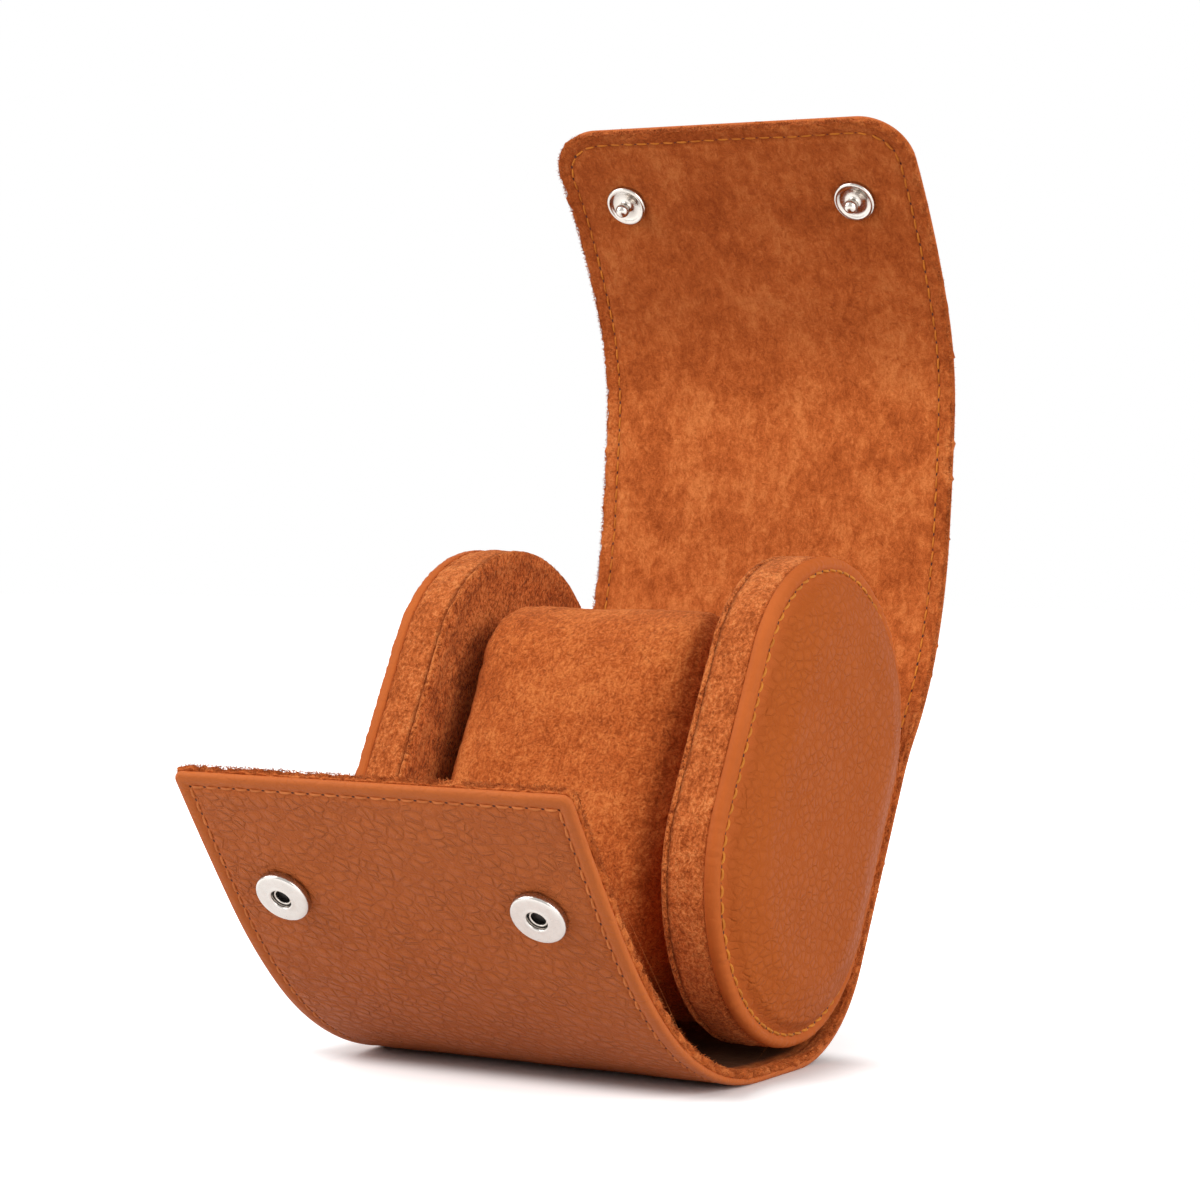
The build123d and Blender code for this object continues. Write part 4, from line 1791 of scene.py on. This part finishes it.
@dataclass
class Pillow:
    """The pillow: foam in a suede sleeve with soft end rims, swollen by a cloth simulation."""

    outline: CapOutline
    finishes: Finishes
    half_width: float = 26.3
    back: float = 33.5
    front: float = -32.6
    top: float = 34.0
    bottom: float = -46.0
    top_corner: float = 15.0
    bottom_corner: float = 22.0
    rim: float = 4.0
    sink: float = 0.9
    swell_cap: float = 1.3
    voxel: float = 2.6

    def section(self, count: int = 220) -> Array:
        """Rounded box in the caps' plane, its four sides and corners walked in turn.

        Args:
            count: How many points go round.

        Returns:
            The points in the plane of the caps.
        """
        corners = (
            (self.back, self.top, self.top_corner, 0.0),
            (self.front, self.top, self.top_corner, 90.0),
            (self.front, self.bottom, self.bottom_corner, 180.0),
            (self.back, self.bottom, self.bottom_corner, 270.0),
        )
        loop = []
        for across, up, radius, start in corners:
            turn = np.radians(np.linspace(start, start + 90.0, 60))
            centre = np.array([across - math.copysign(radius, across), up - math.copysign(radius, up)])
            loop.append(centre + radius * np.stack([np.cos(turn), np.sin(turn)], -1))
        path = np.concatenate([*loop, loop[0][:1]])
        return path_at(path, np.linspace(0.0, walked(path)[-1], count, endpoint=False))

    def shape(self) -> Shape:
        """The pillow before it swells: the section drawn in towards its ends.

        Across the roll the section shrinks over the rim by the round rim - sqrt(rim^2 - d^2),
        and each end is closed by rings that shrink to the middle and stand out by a low crown.

        Returns:
            The closed pillow.
        """
        section = self.section()
        middle = (section.max(0) + section.min(0)) / 2
        spread = (section.max(0) - section.min(0)) / 2
        turn = np.linspace(0.0, math.pi / 2, 9)
        rim_x = self.half_width - self.rim + self.rim * np.sin(turn)
        rim_in = self.sink + self.rim * (1.0 - np.cos(turn))
        flat_x = np.linspace(0.0, self.half_width - self.rim, 10)[:-1]
        side_x = np.concatenate([flat_x, rim_x])
        side_in = np.concatenate([np.full(len(flat_x), self.sink), rim_in])
        shrink = np.linspace(1.0, 0.0, 12)[1:]
        xs = np.concatenate([side_x, np.full(len(shrink), self.half_width)])
        factor_t = 1.0 - side_in / spread[0]
        factor_w = 1.0 - side_in / spread[1]
        factor_t = np.concatenate([factor_t, factor_t[-1] * shrink])
        factor_w = np.concatenate([factor_w, factor_w[-1] * shrink])
        xs = np.concatenate([-xs[::-1], xs[1:]])
        factors = np.stack([factor_t, factor_w], -1)
        factors = np.concatenate([factors[::-1], factors[1:]])
        rings = middle + (section - middle)[None] * factors[:, None, :]
        points = self.outline.place(rings, np.broadcast_to(xs[:, None], rings.shape[:2]))
        ids = grid_ids(points)
        flat = np.concatenate([rings, np.broadcast_to(xs[:, None, None], (*rings.shape[:2], 1))], -1)
        faces = grid_faces(ids, around=True).tolist()
        return Shape(points.reshape(-1, 3), faces, flat.reshape(-1, 3), np.zeros(ids.size))

    def swell(self, piece: bpy.types.Object) -> None:
        """Remeshes the pillow evenly and lets air pressure swell it, by a capped amount.

        Args:
            piece: The pillow.
        """
        remesh = piece.modifiers.new("even", "REMESH")
        remesh.mode = "VOXEL"
        remesh.voxel_size = self.voxel * MM
        self._apply(piece)
        rest = self._points(piece)
        cloth = piece.modifiers.new("air", "CLOTH")
        settings = cloth.settings
        settings.quality = 6
        settings.mass = 0.2
        settings.tension_stiffness = 18.0
        settings.compression_stiffness = 18.0
        settings.bending_stiffness = 0.4
        settings.use_pressure = True
        settings.uniform_pressure_force = 4.0
        settings.effector_weights.gravity = 0.0
        scene = bpy.context.scene
        for number in range(1, 21):
            scene.frame_set(number)
        bpy.context.view_layer.update()
        self._apply(piece)
        scene.frame_set(1)
        moved = self._points(piece) - rest
        far = np.linalg.norm(moved, axis=1, keepdims=True)
        cap = self.swell_cap * MM
        rest = rest + moved * np.minimum(1.0, cap * np.tanh(far / cap) / np.maximum(far, 1e-9))
        piece.data.vertices.foreach_set("co", rest.astype(np.float32).ravel())
        smooth = piece.modifiers.new("even_out", "SUBSURF")
        smooth.levels = smooth.render_levels = 2
        self._apply(piece)

    @staticmethod
    def _apply(piece: bpy.types.Object) -> None:
        """Bakes the modifiers of a piece into its mesh.

        Args:
            piece: The piece.
        """
        seen = piece.evaluated_get(bpy.context.evaluated_depsgraph_get())
        mesh = bpy.data.meshes.new_from_object(seen)
        old = piece.data
        piece.modifiers.clear()
        piece.data = mesh
        bpy.data.meshes.remove(old)

    @staticmethod
    def _points(piece: bpy.types.Object) -> Array:
        """Vertex places of a piece, in metres.

        Args:
            piece: The piece.

        Returns:
            The places, point by point.
        """
        flat = np.zeros(len(piece.data.vertices) * 3, np.float32)
        piece.data.vertices.foreach_get("co", flat)
        return flat.reshape(-1, 3).astype(float)

    def nap(self, piece: bpy.types.Object) -> None:
        """Pushes the surface about by the nap, and stores the coordinates the finish reads.

        Args:
            piece: The pillow.
        """
        points = self._points(piece) / MM
        normals = np.zeros(len(points) * 3, np.float32)
        piece.data.vertices.foreach_get("normal", normals)
        normals = normals.reshape(-1, 3)
        lift = 0.07 * ripple(points, 2.6, 71) + 0.16 * ripple(points, 14.0, 72)
        rim = np.abs(np.abs(points[:, 0]) - (self.half_width - 1.2))
        lift = lift - 0.22 * bell(rim, 0.0, 0.8)
        points = points + normals * lift[:, None]
        piece.data.vertices.foreach_set("co", (points * MM).astype(np.float32).ravel())
        place = piece.data.attributes.new("flat_place", "FLOAT_VECTOR", "POINT")
        place.data.foreach_set("vector", points.astype(np.float32).ravel())
        piece.data.update()

    def make(self) -> None:
        """The pillow, standing for its foam, sleeve and ends."""
        piece = make_piece("pillow_suede", self.shape(), [self.finishes.pillow_suede])
        # The remesh would spoil these, and the nap stores the place anew.
        for name in ("flat_place", "border"):
            piece.data.attributes.remove(piece.data.attributes[name])
        self.swell(piece)
        self.nap(piece)
        if not piece.data.materials:
            piece.data.materials.append(self.finishes.pillow_suede)
        piece.data.shade_smooth()
        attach(piece, "pillow")
        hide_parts("pillow_core", "pillow_sleeve", "pillow_left_end", "pillow_right_end")
        log.info("pillow: %d faces", len(piece.data.polygons))


# The snaps


@dataclass
class Snaps:
    """Two sockets on the front flap and two studs inside the lid, turned from nickel."""

    wrap: Wrap
    finishes: Finishes
    sides: int = 64

    SOCKET = (
        (0.0, -0.05), (1.9, -0.05), (2.12, 0.1), (2.15, 0.4), (2.15, 1.55), (2.2, 1.8),
        (2.34, 1.97), (2.55, 2.03), (2.76, 1.98), (2.92, 1.9), (3.1, 1.87), (3.9, 1.9),
        (4.9, 1.9), (5.22, 1.86), (5.46, 1.74), (5.66, 1.54), (5.76, 1.3), (5.8, 1.0),
        (5.8, 0.5), (5.72, 0.1), (5.5, -0.15), (3.2, -0.2), (3.2, -1.3), (5.3, -1.35),
        (5.3, -1.6), (0.0, -1.6),
    )
    STUD = (
        (0.0, 4.16), (0.45, 4.1), (0.85, 3.92), (1.2, 3.62), (1.46, 3.2), (1.58, 2.8),
        (1.6, 2.5), (1.53, 2.15), (1.35, 1.8), (1.15, 1.55), (1.1, 1.35), (1.12, 1.1),
        (1.3, 0.85), (1.75, 0.66), (2.3, 0.56), (2.9, 0.55), (3.3, 0.6), (3.62, 0.74),
        (3.85, 0.92), (4.1, 1.0), (4.35, 0.98), (4.58, 0.86), (4.74, 0.66), (4.8, 0.42),
        (4.8, 0.0), (4.7, -0.3), (1.5, -0.3), (1.5, -1.1), (4.5, -1.15), (4.5, -1.45),
        (0.0, -1.45),
    )
    SPRING = (
        (1.5, 1.0), (1.57, 1.16), (1.74, 1.22), (1.92, 1.16), (1.98, 1.0), (1.92, 0.84),
        (1.74, 0.78), (1.57, 0.84), (1.5, 1.0),
    )
    # A thin cup lining each socket's bore, dark as painted shade.
    WELL = ((0.0, 0.12), (2.1, 0.1), (2.14, 1.2), (2.0, 0.02), (0.0, 0.0))

    def turned(self, profile: Sequence[tuple[float, float]], places: Sequence[Spot]) -> Shape:
        """A profile of (radius, height) turned about each place's normal.

        Args:
            profile: Radius and height of each ring.
            places: Origin, normal and direction along the wrap of each copy.

        Returns:
            The turned copies.
        """
        turn = np.linspace(0.0, 2.0 * math.pi, self.sides, endpoint=False)
        radius, height = np.array(profile).T
        shapes = []
        for origin, normal, along in places:
            side = np.cross(along, normal)
            spoke = np.cos(turn)[:, None] * side + np.sin(turn)[:, None] * along
            points = origin + radius[:, None, None] * spoke[None] + height[:, None, None] * normal
            ids = grid_ids(points)
            faces = grid_faces(ids, around=True).tolist()
            shapes.append(
                Shape(points.reshape(-1, 3), faces, points.reshape(-1, 3), np.zeros(ids.size))
            )
        return Shape.joined(shapes)

    def places(self, spots: Sequence[tuple[float, float]], face: Face) -> list[Spot]:
        """Origin, normal and direction along the wrap of two snaps, each at a mark and an x.

        Args:
            spots: Mark and x of each snap.
            face: Which face of the wrap they stand on.

        Returns:
            Origin, normal and direction along the wrap of each.
        """
        depth = 0.0 if face is Face.OUTSIDE else WRAP
        found = []
        for mark, x in spots:
            line, along, inward = self.wrap.line.frame(np.array(mark))
            origin = line + depth * inward + np.array([x, 0.0, 0.0])
            found.append((origin, -face.value * inward, along))
        return found

    def make(self) -> None:
        """Sockets with their ring springs and dark wells of painted shade, and studs."""
        outside = self.places(self.wrap.sockets, Face.OUTSIDE)
        inside = self.places(self.wrap.studs, Face.INSIDE)
        # The studs and springs take the darker nickel, painted shade and painted brown reflection.
        nickel, painted_shade_metal = [self.finishes.nickel], [self.finishes.painted_shade_nickel]
        socket = make_piece("snap_socket_caps", self.turned(self.SOCKET, outside), nickel)
        well = make_piece(
            "snap_socket_wells", self.turned(self.WELL, outside), [self.finishes.painted_bore_shade]
        )
        stud = make_piece("snap_stud_balls", self.turned(self.STUD, inside), painted_shade_metal)
        spring = make_piece("snap_ring_springs", self.turned(self.SPRING, outside), painted_shade_metal)
        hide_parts("snap_sockets", "snap_socket_backs")
        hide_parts("snap_socket_springs")
        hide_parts("snap_studs", "snap_stud_backs")
        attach(stud, "lid_6")
        for piece in (socket, well, spring):
            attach(piece, "front_upper")
        log.info("snaps: two sockets and two studs")


def dress_hidden_nodes(finishes: Finishes) -> None:
    """Gives the solids that are kept as they are their own finishes.

    Args:
        finishes: The finishes.
    """
    stuff = {
        "left_cap_core": finishes.board,
        "right_cap_core": finishes.board,
        "left_cap_pad": finishes.foam,
        "right_cap_pad": finishes.foam,
    }
    for name, material in stuff.items():
        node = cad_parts[name]
        node.data.materials.clear()
        node.data.materials.append(material)
        log.info("%s kept, with %s", name, material.name)


# The room


@dataclass(frozen=True)
class Lamp:
    """A square soft lamp: its name, its place in metres and its power in watts."""

    name: str
    place: tuple[float, float, float]
    power: float


@dataclass
class Studio:
    """A pale floor, soft lamps, a white surround and the camera."""

    eye: tuple[float, float, float] = (326.794, -576.132, 110.762)
    yaw: float = 0.513498
    pitch: float = 0.023147
    roll: float = 0.014791
    lens: float = 95.677
    floor_radius: float = 4.0
    footprint: tuple[float, float, float] = (0.044, 0.022, 0.0)
    lamp_size: float = 0.9
    lamp_aim: tuple[float, float, float] = (0.0, 0.0, 0.08)
    lamps: tuple[Lamp, ...] = (
        Lamp("left", (-0.8, -0.7, 0.7), 12.0),
        Lamp("right", (1.1, -0.35, 0.55), 11.0),
        Lamp("top", (0.0, 0.1, 1.3), 3.8),
    )

    def camera(self) -> None:
        """The camera, turned by yaw, pitch and roll."""
        level = np.array([math.cos(self.yaw), math.sin(self.yaw), 0.0])
        ahead = np.array(
            [
                -math.sin(self.yaw) * math.cos(self.pitch),
                math.cos(self.yaw) * math.cos(self.pitch),
                -math.sin(self.pitch),
            ]
        )
        above = np.cross(level, ahead)
        right = level * math.cos(self.roll) + above * math.sin(self.roll)
        up = above * math.cos(self.roll) - level * math.sin(self.roll)
        data = bpy.data.cameras.new("camera")
        data.lens = self.lens
        data.sensor_width = 36.0
        data.clip_start, data.clip_end = 0.05, 20.0
        eye = bpy.data.objects.new("camera", data)
        turn = Matrix(np.stack([right, up, -ahead], axis=1).tolist()).to_4x4()
        eye.matrix_world = Matrix.Translation([value * MM for value in self.eye]) @ turn
        bpy.context.scene.collection.objects.link(eye)
        bpy.context.scene.camera = eye

    def floor(self) -> None:
        """A wide round floor that the camera sees as white, with the roll's shadow on it.

        It glows to the camera and to metal, by nothing under the roll and more and more away
        from its footprint, so that the shadow is dark only where the roll stands.
        """
        turn = np.linspace(0.0, 2.0 * math.pi, 96, endpoint=False)
        ring = self.floor_radius * np.stack([np.cos(turn), np.sin(turn), np.zeros_like(turn)], -1)
        mesh = bpy.data.meshes.new("floor")
        mesh.from_pydata(ring.tolist(), [], [list(range(len(turn)))])
        recipe = Recipe("pale_floor")
        path = recipe.add("LightPath", {})
        seen = recipe.math("MAXIMUM", path.outputs["Is Camera Ray"], path.outputs["Is Glossy Ray"])
        colour = recipe.mix(seen, (0.62, 0.62, 0.62, 1.0), (1.0, 1.0, 1.0, 1.0))
        recipe.finish(Base_Color=colour, Roughness=0.9, Specular_IOR_Level=0.0)
        glow = recipe.add("Emission", {"Color": (1.0, 1.0, 1.0, 1.0)})
        place = recipe.add("TexCoord", {}).outputs["Object"]
        folded = recipe.add("VectorMath", {0: place}, operation="ABSOLUTE")
        outside = recipe.add(
            "VectorMath", {0: folded.outputs[0], 1: self.footprint}, operation="SUBTRACT"
        )
        kept = recipe.add(
            "VectorMath", {0: outside.outputs[0], 1: (0.0, 0.0, 0.0)}, operation="MAXIMUM"
        )
        away = recipe.add("VectorMath", {0: kept.outputs[0]}, operation="LENGTH").outputs["Value"]
        close = recipe.span(away, 0.0, 0.016, 0.0, 0.52)
        level = recipe.math("ADD", close, recipe.span(away, 0.016, 0.22, 0.0, 0.48))
        recipe.feed(glow.inputs["Strength"], recipe.math("MULTIPLY", seen, level))
        both = recipe.add("AddShader", {0: recipe.shader.outputs[0], 1: glow.outputs[0]})
        recipe.feed(recipe.output.inputs["Surface"], both.outputs[0])
        mesh.materials.append(recipe.material)
        floor = bpy.data.objects.new("floor", mesh)
        bpy.context.scene.collection.objects.link(floor)

    def surround(self) -> None:
        """White to the camera and to metal, and plain soft light to everything else."""
        world = bpy.data.worlds.new("surround")
        bpy.context.scene.world = world
        world.use_nodes = True
        tree = world.node_tree
        tree.nodes.clear()
        background = tree.nodes.new("ShaderNodeBackground")
        output = tree.nodes.new("ShaderNodeOutputWorld")
        path = tree.nodes.new("ShaderNodeLightPath")
        seen = tree.nodes.new("ShaderNodeMath")
        seen.operation = "MAXIMUM"
        tree.links.new(path.outputs["Is Camera Ray"], seen.inputs[0])
        tree.links.new(path.outputs["Is Glossy Ray"], seen.inputs[1])
        level = tree.nodes.new("ShaderNodeMapRange")
        level.inputs["To Min"].default_value = 0.25
        level.inputs["To Max"].default_value = 1.0
        tree.links.new(seen.outputs[0], level.inputs["Value"])
        tree.links.new(level.outputs["Result"], background.inputs["Strength"])
        background.inputs["Color"].default_value = (1.0, 1.0, 1.0, 1.0)
        tree.links.new(background.outputs[0], output.inputs["Surface"])

    def hang(self, lamp: Lamp) -> None:
        """Puts a lamp in its place, turned to the roll.

        Args:
            lamp: The lamp.
        """
        data = bpy.data.lights.new(lamp.name, "AREA")
        data.size = self.lamp_size
        data.energy = lamp.power
        hung = bpy.data.objects.new(lamp.name, data)
        ahead = unit(np.array(self.lamp_aim) - np.array(lamp.place))
        side = unit(np.cross(ahead, [0.0, 0.0, 1.0]))
        up = np.cross(side, ahead)
        turn = Matrix(np.stack([side, up, -ahead], axis=1).tolist()).to_4x4()
        hung.matrix_world = Matrix.Translation(lamp.place) @ turn
        bpy.context.scene.collection.objects.link(hung)

    def make(self) -> None:
        """Camera, floor, surround and lamps."""
        self.camera()
        self.floor()
        self.surround()
        for lamp in self.lamps:
            self.hang(lamp)
        bpy.context.scene.view_settings.view_transform = "Standard"
        log.info("studio: camera, floor, surround and %d lamps", len(self.lamps))


def main() -> None:
    """Builds the roll piece by piece, then the room round it."""
    logging.basicConfig(level=logging.INFO, format="%(message)s")
    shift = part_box("case_leather")[0].y / MM - (FRONT_FOLD_Y + FOLD_GAP / 2)
    finishes = Finishes()
    wrap = Wrap(WrapLine(shift), finishes)
    outline = CapOutline(shift, wrap.line)
    wrap.make()
    for side in Side:
        EndCap(side, outline, finishes).make()
    Pillow(outline, finishes).make()
    Snaps(wrap, finishes).make()
    dress_hidden_nodes(finishes)
    Studio().make()


if __name__ == "__main__":
    main()
